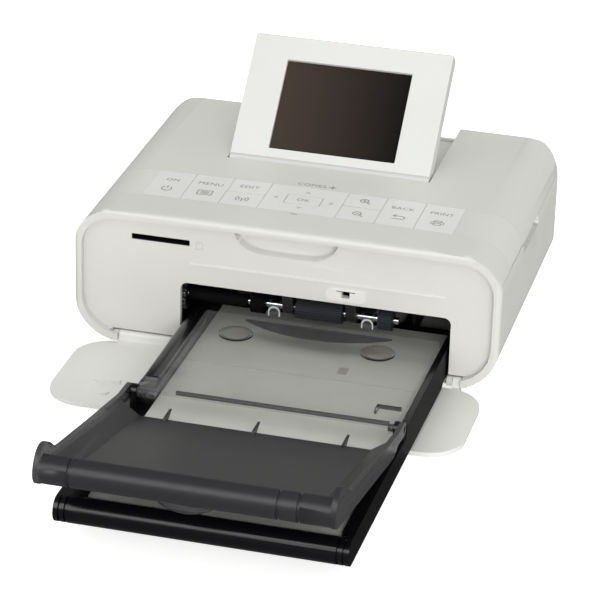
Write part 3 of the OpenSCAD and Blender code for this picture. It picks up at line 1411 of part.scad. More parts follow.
// Sloping side between the outer lid's floor and its cheek, cut across the lid
module lid_slope() {
    h = tray_half - 0.2;
    low = -lid_sink - lid_t;
    translate([0, -13, 0]) rotate([90, 0, 0]) linear_extrude(lid_l - 13)
        polygon([[h - slope_in - eps, low], [h - slope_in - eps, -lid_sink], [h - slope_in + 0.6, -lid_sink],
            [h - arm_w + eps, -1], [h - arm_w + eps, -3], [h - slope_in + 1.2, low]]);
}

module outer_lid() {
    h = tray_half - 0.2;
    l = lid_l;
    low = -lid_sink - lid_t;
    color("#3c3d42", 0.8) at_tray() translate([0, hinge_y, lid_hinge_h]) rotate([-lid_tilt, 0, 0]) difference() {
        union() {
            for (s = [-1, 1]) mirror([s < 0 ? 1 : 0, 0, 0]) {
                lid_cheek(h - arm_w, h);
                lid_slope();
            }
            level_plate(-h + slope_in, h - slope_in, -l, -13, 0.5, low, -lid_sink);
            difference() {
                rod_x(-h + arm_w - eps, h - arm_w + eps, -l, lip_w, lip_r);
                rod_x(-h, h, -l, lip_w, lip_r - lid_t);
                block([-h, -l, -lid_sink], [h, -l + lip_r + 1, lip_w + lip_r + 1]);
            }
            for (x = [-36, 0, 36]) wall_x(x - 0.5, x + 0.5, [[-16, low], [-12, low], [-6.5, -3.4], [-15, -lid_sink + 1]]);
            intersection() {
                rod_y(-l - 0.8, -l + 0.8, 0, lip_w + 11.2, 20);
                block([-14, -l - 1, lip_w - 10], [14, -l + 1, lip_w - lip_r + 1]);
            }
        }
        for (s = [-1, 1]) rod_x(s * h - 4, s * h + 4, 0, 0, trunnion_r + run_gap);
        for (x = lip_grooves) difference() {
            rod_x(x - 0.6, x + 0.6, -l, lip_w, lip_r + 1);
            rod_x(x - 1, x + 1, -l, lip_w, lip_r - 0.7);
        }
    }
}

top_cover();
base_shell();
front_panel();
front_rim();
rear_panel();
key_strip();
key_board();
chassis();
paper_guides();
paper_tunnel();
pickup_bracket();
paper_clips();
feed_motor();
pickup_motor();
main_board();
card_socket();
usb_port();
power_jack();
ink_case();
ink_ribbon();
hinge_pins();
feet();
case_screws();
screen_case();
screen_bezel();
screen_glass();
lcd_module();
front_door();
ink_door();
key_power();
key_menu();
key_edit();
key_wireless();
key_zoom_in();
key_zoom_out();
key_back();
key_print();
key_ok();
nav_plate();
nav_gimbal();
cassette_tray();
paper_stack();
lift_plate();
inner_lid();
outer_lid();
thermal_head();
head_heatsink();
platen_roller();
feed_roller();
pinch_roller();
idler_gear();
motor_pinion();
take_up_spool();
supply_spool();
pickup_shaft();
pickup_rollers();
pickup_pinion();
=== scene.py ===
import json
import math

import bmesh
import bpy
from mathutils import Matrix, Vector
from mathutils.bvhtree import BVHTree


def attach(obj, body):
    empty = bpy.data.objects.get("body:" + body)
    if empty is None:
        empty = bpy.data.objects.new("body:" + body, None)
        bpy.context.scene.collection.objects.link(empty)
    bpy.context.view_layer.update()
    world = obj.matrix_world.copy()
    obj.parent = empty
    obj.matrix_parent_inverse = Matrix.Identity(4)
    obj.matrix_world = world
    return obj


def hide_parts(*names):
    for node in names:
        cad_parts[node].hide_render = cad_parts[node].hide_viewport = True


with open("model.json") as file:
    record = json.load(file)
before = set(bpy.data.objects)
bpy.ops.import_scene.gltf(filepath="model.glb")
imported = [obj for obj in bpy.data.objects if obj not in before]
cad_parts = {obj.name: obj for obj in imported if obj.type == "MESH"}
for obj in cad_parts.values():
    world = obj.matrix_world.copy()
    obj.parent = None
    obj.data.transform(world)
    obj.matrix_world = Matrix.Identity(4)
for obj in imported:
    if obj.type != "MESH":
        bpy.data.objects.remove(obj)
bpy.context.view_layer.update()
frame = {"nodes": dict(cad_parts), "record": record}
nodes = frame["nodes"]
mm = 0.001
housingShift = 0.0930003  # the housing stands this far behind the middle of the whole printer, in m
print("frame loaded:", len(nodes), "nodes")


def linearColour(hexValue):  # sRGB hex to linear RGBA
    channels = [int(hexValue[i:i + 2], 16) / 255 for i in (1, 3, 5)]
    return [c / 12.92 if c <= 0.04045 else ((c + 0.055) / 1.055) ** 2.4 for c in channels] + [1]


# one shader node with its settings, its values and its links
def addNode(material, kind, settings=None, values=None, links=None):
    node = material.node_tree.nodes.new(kind)
    for name, value in (settings or {}).items():
        setattr(node, name, value)
    for name, value in (values or {}).items():
        node.inputs[name].default_value = value
    for name, source in (links or {}).items():
        material.node_tree.links.new(source, node.inputs[name])
    return node


def newMaterial(name, look):  # a plain shader from one dictionary of socket values
    material = bpy.data.materials.new(name)
    material.use_nodes = True
    shader = material.node_tree.nodes["Principled BSDF"]
    shader.inputs["Base Color"].default_value = linearColour(look["colour"])
    for socket, value in look["sockets"].items():
        shader.inputs[socket].default_value = value
    return material, shader


# bump whose grains are size mm across and depth mm deep
def grain(material, shader, size, depth, detail=3.0):
    place = addNode(material, "ShaderNodeTexCoord")
    noise = addNode(material, "ShaderNodeTexNoise", values={"Scale": 1 / (size * mm), "Detail": detail},
                    links={"Vector": place.outputs["Object"]})
    bump = addNode(material, "ShaderNodeBump", values={"Strength": 1.0, "Distance": depth * mm},
                   links={"Height": noise.outputs["Fac"]})
    material.node_tree.links.new(bump.outputs["Normal"], shader.inputs["Normal"])
    return place


mottleLook = {"detail": 2.0, "lowAt": 0.35, "highAt": 0.65}  # noise values that get each of the shades


def mottle(material, shader, place, low, high, size):  # colour drifts between two shades over size mm
    noise = addNode(material, "ShaderNodeTexNoise",
                    values={"Scale": 1 / (size * mm), "Detail": mottleLook["detail"]},
                    links={"Vector": place.outputs["Object"]})
    shades = addNode(material, "ShaderNodeValToRGB", links={"Fac": noise.outputs["Fac"]})
    shades.color_ramp.elements[0].color = linearColour(low)
    shades.color_ramp.elements[1].color = linearColour(high)
    shades.color_ramp.elements[0].position = mottleLook["lowAt"]
    shades.color_ramp.elements[1].position = mottleLook["highAt"]
    material.node_tree.links.new(shades.outputs["Color"], shader.inputs["Base Color"])


# plastic from a spark-eroded mould: soft wide highlights, two close shades
def mouldedPlastic(name, low, high, roughness):
    material, shader = newMaterial(name, {"colour": low, "sockets": {"Roughness": roughness, "IOR": 1.53}})
    place = grain(material, shader, size=0.9, depth=0.012)
    mottle(material, shader, place, low, high, size=60)
    return material


# a polished moulding, a film or a glaze: one colour, sharp highlights, faint waviness
def polishedSurface(name, colour, roughness, coat, shine=0.5):
    material, shader = newMaterial(name, {"colour": colour, "sockets": {
        "Roughness": roughness, "IOR": 1.53, "Specular IOR Level": shine,
        "Coat Weight": coat, "Coat Roughness": 0.05}})
    grain(material, shader, size=9, depth=0.01, detail=1.0)
    return material


# tinted polycarbonate: alpha says how much of what lies behind it is hidden
def smokedPlastic(name, colour, alpha, roughness, shine=0.4):
    material, shader = newMaterial(name, {"colour": colour, "sockets": {
        "Roughness": roughness, "IOR": 1.58, "Specular IOR Level": shine, "Alpha": alpha}})
    grain(material, shader, size=14, depth=0.01, detail=1.0)
    return material


metalLook = {"stretch": (0.05, 1, 1), "detail": 4.0, "depth": 0.004}


# rolled, drawn, turned or extruded metal: long soft streaks along X, size mm apart
def streakedMetal(name, colour, roughness, size):
    material, shader = newMaterial(name, {"colour": colour, "sockets": {
        "Metallic": 1.0, "Roughness": roughness}})
    place = addNode(material, "ShaderNodeTexCoord")
    stretch = addNode(material, "ShaderNodeMapping", values={"Scale": metalLook["stretch"]},
                      links={"Vector": place.outputs["Object"]})
    noise = addNode(material, "ShaderNodeTexNoise",
                    values={"Scale": 1 / (size * mm), "Detail": metalLook["detail"]},
                    links={"Vector": stretch.outputs["Vector"]})
    bump = addNode(material, "ShaderNodeBump", values={"Strength": 1.0, "Distance": metalLook["depth"] * mm},
                   links={"Height": noise.outputs["Fac"]})
    material.node_tree.links.new(bump.outputs["Normal"], shader.inputs["Normal"])
    return material


def groundRubber(name, colour, shine=0.5):  # synthetic rubber ground on a lathe: matt, dark, fine tooth
    material, shader = newMaterial(name, {"colour": colour, "sockets": {
        "Roughness": 0.75, "IOR": 1.52, "Specular IOR Level": shine}})
    grain(material, shader, size=0.5, depth=0.02)
    return material


def cardPaper(name, low, high):  # resin coated card stock: matt, warm grey, faint fibre clouds
    material, shader = newMaterial(name, {"colour": low, "sockets": {"Roughness": 0.7, "IOR": 1.5}})
    place = grain(material, shader, size=0.6, depth=0.01)
    mottle(material, shader, place, low, high, size=25)
    return material


def solderMask(name, colour):  # green lacquer over copper: glossy with faint track ridges
    material, shader = newMaterial(name, {"colour": colour, "sockets": {"Roughness": 0.3, "IOR": 1.5}})
    grain(material, shader, size=1.4, depth=0.02, detail=0.0)
    return material


# painted reflection: the shades from left to right replace the base colour over twice halfWidth, in m, the
# paler left standing in for the reflection on the window
windowReflectionLook = {"base": "#120C0A", "left": "#453B35", "right": "#131212", "halfWidth": 0.03,
              "roughness": 0.15, "coat": 0.0, "shine": 0.05}


# painted reflection: the window is painted paler brown towards the left for the reflection it shows
def displayGlassReflectionPaint(name):  # dark acrylic over the display, a little paler at the left
    material = polishedSurface(name, windowReflectionLook["base"], windowReflectionLook["roughness"], windowReflectionLook["coat"],
                               windowReflectionLook["shine"])
    place = addNode(material, "ShaderNodeTexCoord")
    across = addNode(material, "ShaderNodeSeparateXYZ", links={"Vector": place.outputs["Object"]})
    share = addNode(material, "ShaderNodeMapRange",
                    values={"From Min": -windowReflectionLook["halfWidth"], "From Max": windowReflectionLook["halfWidth"]},
                    links={"Value": across.outputs["X"]})
    shades = addNode(material, "ShaderNodeValToRGB", links={"Fac": share.outputs["Result"]})
    shades.color_ramp.elements[0].color = linearColour(windowReflectionLook["left"])
    shades.color_ramp.elements[1].color = linearColour(windowReflectionLook["right"])
    shader = material.node_tree.nodes["Principled BSDF"]
    material.node_tree.links.new(shades.outputs["Color"], shader.inputs["Base Color"])
    return material


# housing, face, door and keys: the same white ABS with painted light and shade, each copy at the shade its
# part shows in its own light
housingAbs = mouldedPlastic("HousingAbs", "#D6D6D0", "#DADAD4", 0.46)
faceAbs = mouldedPlastic("FaceAbs", "#DAD9D4", "#DDDCD7", 0.5)
rimAbs = mouldedPlastic("RimAbs", "#D7D7D1", "#DADAD4", 0.46)
# painted light: the door's copy is lighter, to lift the shade that falls on the door
doorAbsLightPaint = mouldedPlastic("DoorAbsPaintedLight", "#E8E8E3", "#EBEBE6", 0.42)
# painted highlight: the plate's copy is lighter, for the latch plate and the ridge above it
plateAbsHighlightPaint = mouldedPlastic("PlateAbsPaintedHighlight", "#E7E6E1", "#E9E8E3", 0.42)
stripAbs = mouldedPlastic("StripAbs", "#DADAD5", "#DDDDD8", 0.4)
keyAbs = mouldedPlastic("KeyAbs", "#E2E2DE", "#E5E5E1", 0.4)
screenAbs = mouldedPlastic("ScreenAbs", "#D6D7D3", "#D9DAD6", 0.45)
displayWindow = displayGlassReflectionPaint("DisplayWindowPaintedReflection")

# the works behind the covers
displayPlastic = mouldedPlastic("ModulePlastic", "#4A4C4E", "#505254", 0.5)
boardLacquer = solderMask("BoardLacquer", "#1E5C3A")
platedSteel = streakedMetal("PlatedSteel", "#B4B8BC", 0.35, 0.6)
motorCan = streakedMetal("DrawnMotorCan", "#9DA1A6", 0.3, 0.8)
groundSteel = streakedMetal("GroundSteel", "#C6C9CC", 0.2, 0.3)
blackMould = mouldedPlastic("BlackMoulding", "#0E0E10", "#131315", 0.5)
clearClip = smokedPlastic("ClearClip", "#9A9EA2", 0.1, 0.08, 0.5)
# painted highlight: the clear clips' front faces are pale and nearly opaque for their bright outlines
clipHighlightPaint = smokedPlastic("ClearClipPaintedHighlight", "#E4E6E8", 0.85, 0.1, 0.9)
dyeFilm = polishedSurface("DyeFilm", "#4A2450", 0.25, 0.2)

# the cassette: glossy black tray with duller rails, and what the paper shows
cassetteAbs = polishedSurface("CassetteAbs", "#09090C", 0.12, 0.0, 0.5)
railAbs = polishedSurface("RailAbs", "#09090C", 0.55, 0.0, 0.06)
railTopAbs = polishedSurface("RailTopAbs", "#0B0B0E", 0.22, 0.0, 0.3)
photoCard = cardPaper("PhotoCard", "#C5C5BE", "#CBCBC4")

# the inner lid: nearly clear sheet, denser where it is ribbed or ringed and darker over the half disc; a
# painted shade along its front crossbar and on the front of each ring's outer wall, and a painted reflection
# on its left tab
smokeClear = smokedPlastic("ClearSmokeLid", "#8C8D8B", 0.16, 0.06, 1.0)
# the ribs' darker tint, also a painted shade along the lid's front crossbar
ribsAndBarShadePaint = smokedPlastic("SmokeRibsAndPaintedBarShade", "#2A2A26", 0.93, 0.3, 0.2)
smokeFine = smokedPlastic("SmokeHalfDisc", "#2A2730", 0.9, 0.2, 0.2)
smokeRing = smokedPlastic("SmokeRings", "#57544B", 0.5, 0.2, 0.3)
# painted shade: black on the front of each ring's outer wall
ringWallShadePaint = smokedPlastic("RingFrontPaintedShade", "#0C0C0B", 1.0, 0.4, 0.1)
smokeWell = smokedPlastic("SmokeWells", "#5A564B", 0.25, 0.2, 0.3)
# painted reflection: the left tab is a pale half-opaque grey for the whitish streaks it reflects
tabReflectionPaint = smokedPlastic("LeftTabPaintedReflection", "#8C8D98", 0.55, 0.3, 0.5)

# the outer lid: dark, with clearer cheeks and a clear thumb tab whose edges carry a painted shade
smokeDark = smokedPlastic("DarkSmokeLid", "#2C2C2F", 0.92, 0.36, 0.25)
smokeCheek = smokedPlastic("SmokeCheeks", "#2E2E32", 0.76, 0.25, 0.4)
clearTab = smokedPlastic("ClearTab", "#3A3A3E", 0.45, 0.15, 0.4)
# painted shade: the thumb tab's edges are near-opaque dark
tabEdgeShadePaint = smokedPlastic("ClearTabPaintedShadeEdge", "#1C1C1F", 0.95, 0.2, 0.5)

# head, rollers and gears, a painted shade on the paper, then the inks of the legends, which have the sheen
# of the plastic below
extrudedAluminium = streakedMetal("ExtrudedAluminium", "#B9BCBF", 0.4, 0.9)
glazedCeramic = polishedSurface("GlazedCeramic", "#D6D2C4", 0.2, 0.3)
rollerRubber = groundRubber("RollerRubber", "#2A2B31", 0.3)
darkRubber = groundRubber("DarkRubber", "#060607", 0.1)
naturalAcetal = mouldedPlastic("NaturalAcetal", "#E4E2D6", "#E8E6DA", 0.4)
turnedBrass = streakedMetal("TurnedBrass", "#C9A357", 0.25, 0.3)
# painted shade: a darker patch on the paper under the inner lid
paperShadePaint = cardPaper("PhotoCardPaintedShade", "#9B9990", "#A09E95")
legendInk = mouldedPlastic("LegendInk", "#8A8B89", "#8E8F8D", 0.5)
paleInk = mouldedPlastic("PaleLegendInk", "#C2C3BF", "#C6C7C3", 0.5)

finishOfSlot = {
    "housing": housingAbs, "face": faceAbs, "rim": rimAbs, "keys": keyAbs, "screen_shell": screenAbs,
    "display": displayWindow, "module_grey": displayPlastic, "circuit_board": boardLacquer,
    "sheet_steel": platedSteel, "motor_steel": motorCan, "steel_shaft": groundSteel,
    "pickup_steel": groundSteel, "black_plastic": blackMould, "clear_clip": clearClip, "ribbon": dyeFilm,
    "cassette_black": cassetteAbs, "paper": photoCard, "smoke_inner": smokeClear, "smoke_outer": smokeDark,
    "heatsink": extrudedAluminium, "ceramic": glazedCeramic, "rubber": rollerRubber,
    "gear_white": naturalAcetal, "gear_brass": turnedBrass,
}
for part in frame["record"]["subparts"]:
    cadNode = nodes[part["node"]]
    cadNode.data.materials.clear()
    cadNode.data.materials.append(finishOfSlot[part["material_slot"]])
print("materials assigned")


# the cassette's middle line and the middles of the lid's two rings, in mm
cassettePlaces = {"middle": 12.25, "ringsAcross": (-15.95, 44.05), "ringsBack": 9.67}


def measuresOf(place, normal):  # where a face lies, in mm, and the parts of its normal
    rings = [math.hypot(place.x - across, place.y - cassettePlaces["ringsBack"])
             for across in cassettePlaces["ringsAcross"]]
    return {"across": place.x, "back": place.y, "height": place.z, "fromRing": min(rings),
            "fromMiddle": abs(place.x - cassettePlaces["middle"]), "sideways": abs(normal.x),
            "lengthways": abs(normal.y), "upright": abs(normal.z), "upward": normal.z, "forward": -normal.y}


def isWithin(value, span):  # strictly between two limits, where None sets no limit
    low, high = span
    return (low is None or value > low) and (high is None or value < high)


# areas of a moulding with a finish of their own, where a later area lies over an earlier one
areasOfNode = {
    "pickup_rollers": [{"across": (None, -10), "finish": darkRubber}],
    "front_panel": [
        # painted highlight: the latch plate and the ridge above it are painted lighter than the face
        {"across": (11.45, 39.45), "back": (None, 28.3), "height": (33.4, 41.4), "finish": plateAbsHighlightPaint},
        {"back": (None, 28.3), "height": (41.4, 42.9), "finish": plateAbsHighlightPaint},
    ],
    # painted light: the whole door is painted lighter against the shade it lies in
    "front_door": [{"finish": doorAbsLightPaint}],
    "key_strip": [{"finish": stripAbs}],
    "cassette_tray": [
        {"sideways": (0.95, None), "finish": railAbs},
        {"sideways": (None, 0.95), "finish": railTopAbs},
    ],
    "inner_lid": [
        {"across": (53, 65.5), "back": (-42.5, -34.5), "upright": (None, 0.5), "finish": ribsAndBarShadePaint},
        # partly the crossbar's own tint, partly a painted shade for the dark line along its edge
        {"across": (-36, 64), "back": (-46.9, -45.3), "height": (None, 21.2), "finish": ribsAndBarShadePaint},
        {"across": (-28, 56), "back": (14.0, None), "height": (None, 20.6), "finish": smokeFine},
        # painted reflection: the pale streaks of the left tab
        {"across": (None, -34.4), "back": (-47, None), "finish": tabReflectionPaint},
        {"fromRing": (None, 5.2), "upward": (0.5, None), "finish": smokeWell},
        {"fromRing": (5.2, 7.2), "finish": smokeRing},
        # painted shade: the front of each ring's outer wall is black
        {"fromRing": (6.6, 7.3), "back": (None, 10.5), "upright": (None, 0.5), "finish": ringWallShadePaint},
    ],
    # painted highlight on the front faces of the clear clips
    "paper_clips": [{"back": (None, 36.6), "forward": (0.9, None), "finish": clipHighlightPaint}],
    "outer_lid": [
        {"fromMiddle": (50, None), "sideways": (0.9, None), "finish": smokeCheek},
        {"fromMiddle": (None, 14.5), "back": (None, -150), "height": (None, 35.3), "finish": clearTab},
        # painted shade: the thumb tab's edges, near-opaque dark
        {"fromMiddle": (None, 14.5), "back": (None, -150), "height": (None, 35.3),
         "lengthways": (None, 0.85), "finish": tabEdgeShadePaint},
    ],
}

smoothLook = {"mergeDistance": 0.002, "flatAngle": 0.3, "sharpAngle": 32}  # mm and degrees


def smoothCopy(nodeName, body):  # merged and smooth shaded, so that rounded corners read as round
    mesh = nodes[nodeName].data.copy()
    work = bmesh.new()
    work.from_mesh(mesh)
    bmesh.ops.remove_doubles(work, verts=work.verts, dist=smoothLook["mergeDistance"] * mm)
    bmesh.ops.dissolve_limit(work, angle_limit=math.radians(smoothLook["flatAngle"]), verts=work.verts,
                             edges=work.edges, delimit={"NORMAL"})
    areas = areasOfNode.get(nodeName, [])
    for face in work.faces:
        face.smooth = True
        measures = measuresOf(face.calc_center_median() / mm, face.normal)
        for index, area in enumerate(areas):
            limits = {name: span for name, span in area.items() if name != "finish"}
            if all(isWithin(measures[name], span) for name, span in limits.items()):
                face.material_index = index + 1
    work.to_mesh(mesh)
    work.free()
    for area in areas:
        mesh.materials.append(area["finish"])
    mesh.set_sharp_from_angle(angle=math.radians(smoothLook["sharpAngle"]))
    piece = bpy.data.objects.new(nodeName + "_moulded", mesh)
    bpy.context.scene.collection.objects.link(piece)
    weighted = piece.modifiers.new("evenNormals", "WEIGHTED_NORMAL")
    weighted.keep_sharp = True
    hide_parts(nodeName)
    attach(piece, body)


bodies = frame["record"]["behaviour"]["bodies"]
bodyOfNode = {node: body for body, members in bodies.items() for node in members}
smoothNodes = [
    "top_cover", "base_shell", "front_panel", "front_rim", "rear_panel", "key_strip", "ink_door",
    "front_door", "screen_case", "screen_bezel", "key_power", "key_menu", "key_edit", "key_wireless",
    "key_zoom_in", "key_zoom_out", "key_back", "key_print", "key_ok", "nav_plate", "cassette_tray",
    "inner_lid", "outer_lid", "pickup_rollers", "paper_clips",
]
for name in smoothNodes:
    smoothCopy(name, bodyOfNode[name])
print("moulded pieces smoothed:", len(smoothNodes))


def strokeShape(work, points, width):  # a flat ribbon of one width along a path, in mm
    half = width / 2
    sides = []
    for index, point in enumerate(points):
        before = Vector(points[max(index - 1, 0)])
        after = Vector(points[min(index + 1, len(points) - 1)])
        along = (after - before).normalized()
        across = Vector((-along.y, along.x)) * half
        sides.append([work.verts.new((point[0] + across.x * side, point[1] + across.y * side, 0))
                      for side in (1, -1)])
    for (leftA, rightA), (leftB, rightB) in zip(sides, sides[1:]):
        work.faces.new((leftA, rightA, rightB, leftB))


def taperStroke(work):  # draws a stroke's far end together to a point, which makes an arrow head
    farEnd = list(work.verts)[2:]
    middle = sum((vert.co for vert in farEnd), Vector()) / 2
    bmesh.ops.pointmerge(work, verts=farEnd, merge_co=middle)


# points round an arc, angles in degrees
def arcPath(centreX, centreY, radius, startAngle, endAngle, count=14):
    angles = [math.radians(startAngle + (endAngle - startAngle) * step / count) for step in range(count + 1)]
    return [(centreX + radius * math.cos(angle), centreY + radius * math.sin(angle)) for angle in angles]


letterLook = {"curveSteps": 3, "spacing": 1.08}


def wordMesh(word, width):  # a printed word of a given width in mm, as a flat mesh about its centre
    curve = bpy.data.curves.new(word, "FONT")
    curve.body = word
    curve.resolution_u = letterLook["curveSteps"]
    curve.space_character = letterLook["spacing"]
    carrier = bpy.data.objects.new(word, curve)
    mesh = bpy.data.meshes.new_from_object(carrier)
    bpy.data.objects.remove(carrier)
    bpy.data.curves.remove(curve)
    work = bmesh.new()
    work.from_mesh(mesh)
    bpy.data.meshes.remove(mesh)
    spanX = [min(vert.co.x for vert in work.verts), max(vert.co.x for vert in work.verts)]
    spanY = [min(vert.co.y for vert in work.verts), max(vert.co.y for vert in work.verts)]
    factor = width / (spanX[1] - spanX[0])
    for vert in work.verts:
        vert.co = Vector(((vert.co.x - sum(spanX) / 2) * factor, (vert.co.y - sum(spanY) / 2) * factor, 0))
    return work


facesOfHousing = {
    "top": {"right": Vector((1, 0, 0)), "up": Vector((0, 1, 0)), "inward": Vector((0, 0, -1))},
    "front": {"right": Vector((1, 0, 0)), "up": Vector((0, 0, 1)), "inward": Vector((0, 1, 0))},
    "side": {"right": Vector((0, 1, 0)), "up": Vector((0, 0, 1)), "inward": Vector((-1, 0, 0))},
}
surfaceTrees = {}
printLook = {"startsOutside": 0.3, "proud": 0.03}  # startsOutside in m, proud in mm


def printOn(name, work, look):  # lays a flat shape on a CAD piece's surface, just proud of it
    node = look["on"]
    if node not in surfaceTrees:
        mesh = nodes[node].data
        surfaceTrees[node] = BVHTree.FromPolygons([vert.co.copy() for vert in mesh.vertices],
                                                  [list(face.vertices) for face in mesh.polygons])
    way = facesOfHousing[look.get("face", "top")]
    outside = way["inward"] * printLook["startsOutside"]
    for vert in work.verts:
        across = way["right"] * (look["place"][0] + vert.co.x) * mm
        along = way["up"] * (look["place"][1] + vert.co.y) * mm
        start = across + along + Vector((0, housingShift, 0)) - outside
        hit = surfaceTrees[node].ray_cast(start, way["inward"])[0]
        surface = hit if hit else start + outside
        vert.co = surface - way["inward"] * printLook["proud"] * mm
    work.normal_update()
    for face in work.faces:
        if face.normal.dot(way["inward"]) > 0:
            face.normal_flip()
    mesh = bpy.data.meshes.new(name)
    work.to_mesh(mesh)
    work.free()
    mesh.materials.append(look.get("ink", legendInk))
    piece = bpy.data.objects.new(name, mesh)
    bpy.context.scene.collection.objects.link(piece)
    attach(piece, bodyOfNode[node])


# in mm from the middle of the housing: the key columns across, the rows of words and signs to the back
columns = {"power": -59.75, "menu": -43.05, "edit": -26.35, "ok": -1.3, "zoom": 23.75, "back": 40.45,
           "print": 57.15}
rows = {"words": -28.8, "signs": -38.4, "edit": -27.2, "nearer": -27.1, "ok": -33.85, "lowerHalf": -40.5,
        "copies": -17.3, "fewer": -48.9}

words = [  # place is across and back from the middle of the housing, in mm
    {"name": "wordOn", "word": "ON", "width": 5.6, "on": "key_power",
     "place": (columns["power"], rows["words"])},
    {"name": "wordMenu", "word": "MENU", "width": 10.6, "on": "key_menu",
     "place": (columns["menu"], rows["words"])},
    {"name": "wordEdit", "word": "EDIT", "width": 8.3, "on": "key_edit",
     "place": (columns["edit"], rows["edit"])},
    {"name": "wordOk", "word": "OK", "width": 5.6, "on": "key_ok",
     "place": (columns["ok"], rows["ok"])},
    {"name": "wordBack", "word": "BACK", "width": 9.6, "on": "key_back",
     "place": (columns["back"], rows["words"])},
    {"name": "wordPrint", "word": "PRINT", "width": 9.9, "on": "key_print",
     "place": (columns["print"], rows["words"])},
    {"name": "wordCopies", "word": "COPIES", "width": 12.4, "on": "top_cover",
     "place": (-1.8, rows["copies"])},
]
for look in words:
    printOn(look["name"], wordMesh(look["word"], look["width"]), look)

magnifier = [arcPath(-0.5, 0.6, 1.75, 0, 360, 24), [(0.75, -0.65), (2.4, -2.2)]]
minusInLens = [(-1.4, 0.6), (0.4, 0.6)]
plusInLens = [minusInLens, [(-0.5, -0.3), (-0.5, 1.5)]]
signs = [  # each sign is a few pen strokes in mm about its place
    {"name": "signPower", "on": "key_power", "place": (columns["power"], rows["signs"]), "pen": 0.5,
     "strokes": [arcPath(0, 0, 2.15, 125, 415, 24), [(0, 0.5), (0, 2.7)]]},
    {"name": "signList", "on": "key_menu", "place": (columns["menu"], rows["signs"]), "pen": 0.45,
     "strokes": [[(-3.3, 2.2), (3.3, 2.2)], [(3.1, 2.2), (3.1, -2.2)], [(3.3, -2.2), (-3.3, -2.2)],
                 [(-3.1, -2.2), (-3.1, 2.2)], [(-1.9, 0.95), (1.9, 0.95)], [(-1.9, 0), (1.9, 0)],
                 [(-1.9, -0.95), (1.9, -0.95)]]},
    {"name": "signRadio", "on": "key_wireless", "place": (columns["edit"], rows["lowerHalf"]), "pen": 0.45,
     "strokes": [arcPath(0, 0.4, 1.5, 130, 230), arcPath(0, 0.4, 1.5, -50, 50),
                 arcPath(0, 0.4, 2.7, 130, 230), arcPath(0, 0.4, 2.7, -50, 50),
                 [(0, 0.9), (0, -2.1)], [(-0.45, 0.5), (0.45, 0.5)]]},
    {"name": "signNearer", "on": "key_zoom_in", "place": (columns["zoom"], rows["nearer"]), "pen": 0.5,
     "strokes": magnifier + plusInLens},
    {"name": "signFarther", "on": "key_zoom_out", "place": (columns["zoom"], rows["lowerHalf"]), "pen": 0.5,
     "strokes": magnifier + [minusInLens]},
    {"name": "signReturn", "on": "key_back", "place": (columns["back"], rows["signs"]), "pen": 0.5,
     "strokes": [[(-2.4, 1.5), (1.2, 1.5)] + arcPath(1.2, 0.05, 1.45, 80, -80) + [(1.2, -1.4), (-2.6, -1.4)],
                 [(-1.3, 2.6), (-2.6, 1.5), (-1.3, 0.4)]]},
    {"name": "signPrinter", "on": "key_print", "place": (columns["print"], rows["signs"]), "pen": 0.45,
     "strokes": [[(-1.2, -1.1), (-2.7, -1.1), (-2.7, 0.9), (2.7, 0.9), (2.7, -1.1), (1.2, -1.1)],
                 [(-1.5, 0.9), (-1.5, 2.3), (1.5, 2.3), (1.5, 0.9)],
                 [(-1.5, -0.2), (-1.5, -2.2), (1.5, -2.2), (1.5, -0.2), (-1.7, -0.2)]]},
    {"name": "signCard", "on": "front_panel", "face": "front", "place": (-37.5, 50.5), "pen": 0.3,
     "ink": paleInk,
     "strokes": [[(-1.4, -1.7), (-1.4, 1.7), (0.7, 1.7), (1.4, 1.0), (1.4, -1.7), (-1.55, -1.7)],
                 [(-0.7, 0.7), (-0.7, 1.4)], [(0.0, 0.7), (0.0, 1.4)]]},
    {"name": "signInk", "on": "ink_door", "face": "side", "place": (3.0, 41.0), "pen": 0.4, "ink": paleInk,
     "strokes": [[(-2.4, -1.6), (-2.4, 1.6), (2.4, 1.6), (2.4, -1.6), (-2.6, -1.6)], [(0, 4.2), (0, 2.4)],
                 [(-0.9, 3.3), (0, 2.4), (0.9, 3.3)]]},
    {"name": "signMore", "on": "top_cover", "place": (7.2, rows["copies"]), "pen": 0.6,
     "strokes": [[(-1.5, 0), (1.5, 0)], [(0, -1.5), (0, 1.5)]]},
    {"name": "signFewer", "on": "top_cover", "place": (-1.6, rows["fewer"]), "pen": 0.6,
     "strokes": [[(-1.5, 0), (1.5, 0)]]},
    # painted shade: a darker patch laid on the paper under the inner lid, not a print
    {"name": "paintedShadeUnderLid", "on": "paper_stack", "place": (30.5, -86.3), "pen": 6.5, "ink": paperShadePaint,
     "strokes": [[(-2.0, 0), (2.0, 0)]]},
]
arrowLook = {"reachAcross": 12.2, "reachBack": 8.3, "halfLength": 1.1, "width": 3.0}  # in mm
for angle, name in ((0, "Right"), (90, "Back"), (180, "Left"), (270, "Front")):
    reach = arrowLook["reachAcross"] if angle % 180 == 0 else arrowLook["reachBack"]
    turn = Matrix.Rotation(math.radians(angle), 2)
    arrowAcross = columns["ok"] + reach * math.cos(math.radians(angle))
    arrowBack = rows["ok"] + reach * math.sin(math.radians(angle))
    stroke = [tuple(turn @ Vector((end, 0))) for end in (-arrowLook["halfLength"], arrowLook["halfLength"])]
    signs.append({"name": "arrow" + name, "on": "nav_plate", "pen": arrowLook["width"], "ink": paleInk,
                  "taper": True, "place": (arrowAcross, arrowBack), "strokes": [stroke]})
for look in signs:
    work = bmesh.new()
    for stroke in look["strokes"]:
        strokeShape(work, stroke, look["pen"])
    if look.get("taper"):
        taperStroke(work)
    printOn(look["name"], work, look)
print("legends printed:", len(words) + len(signs))


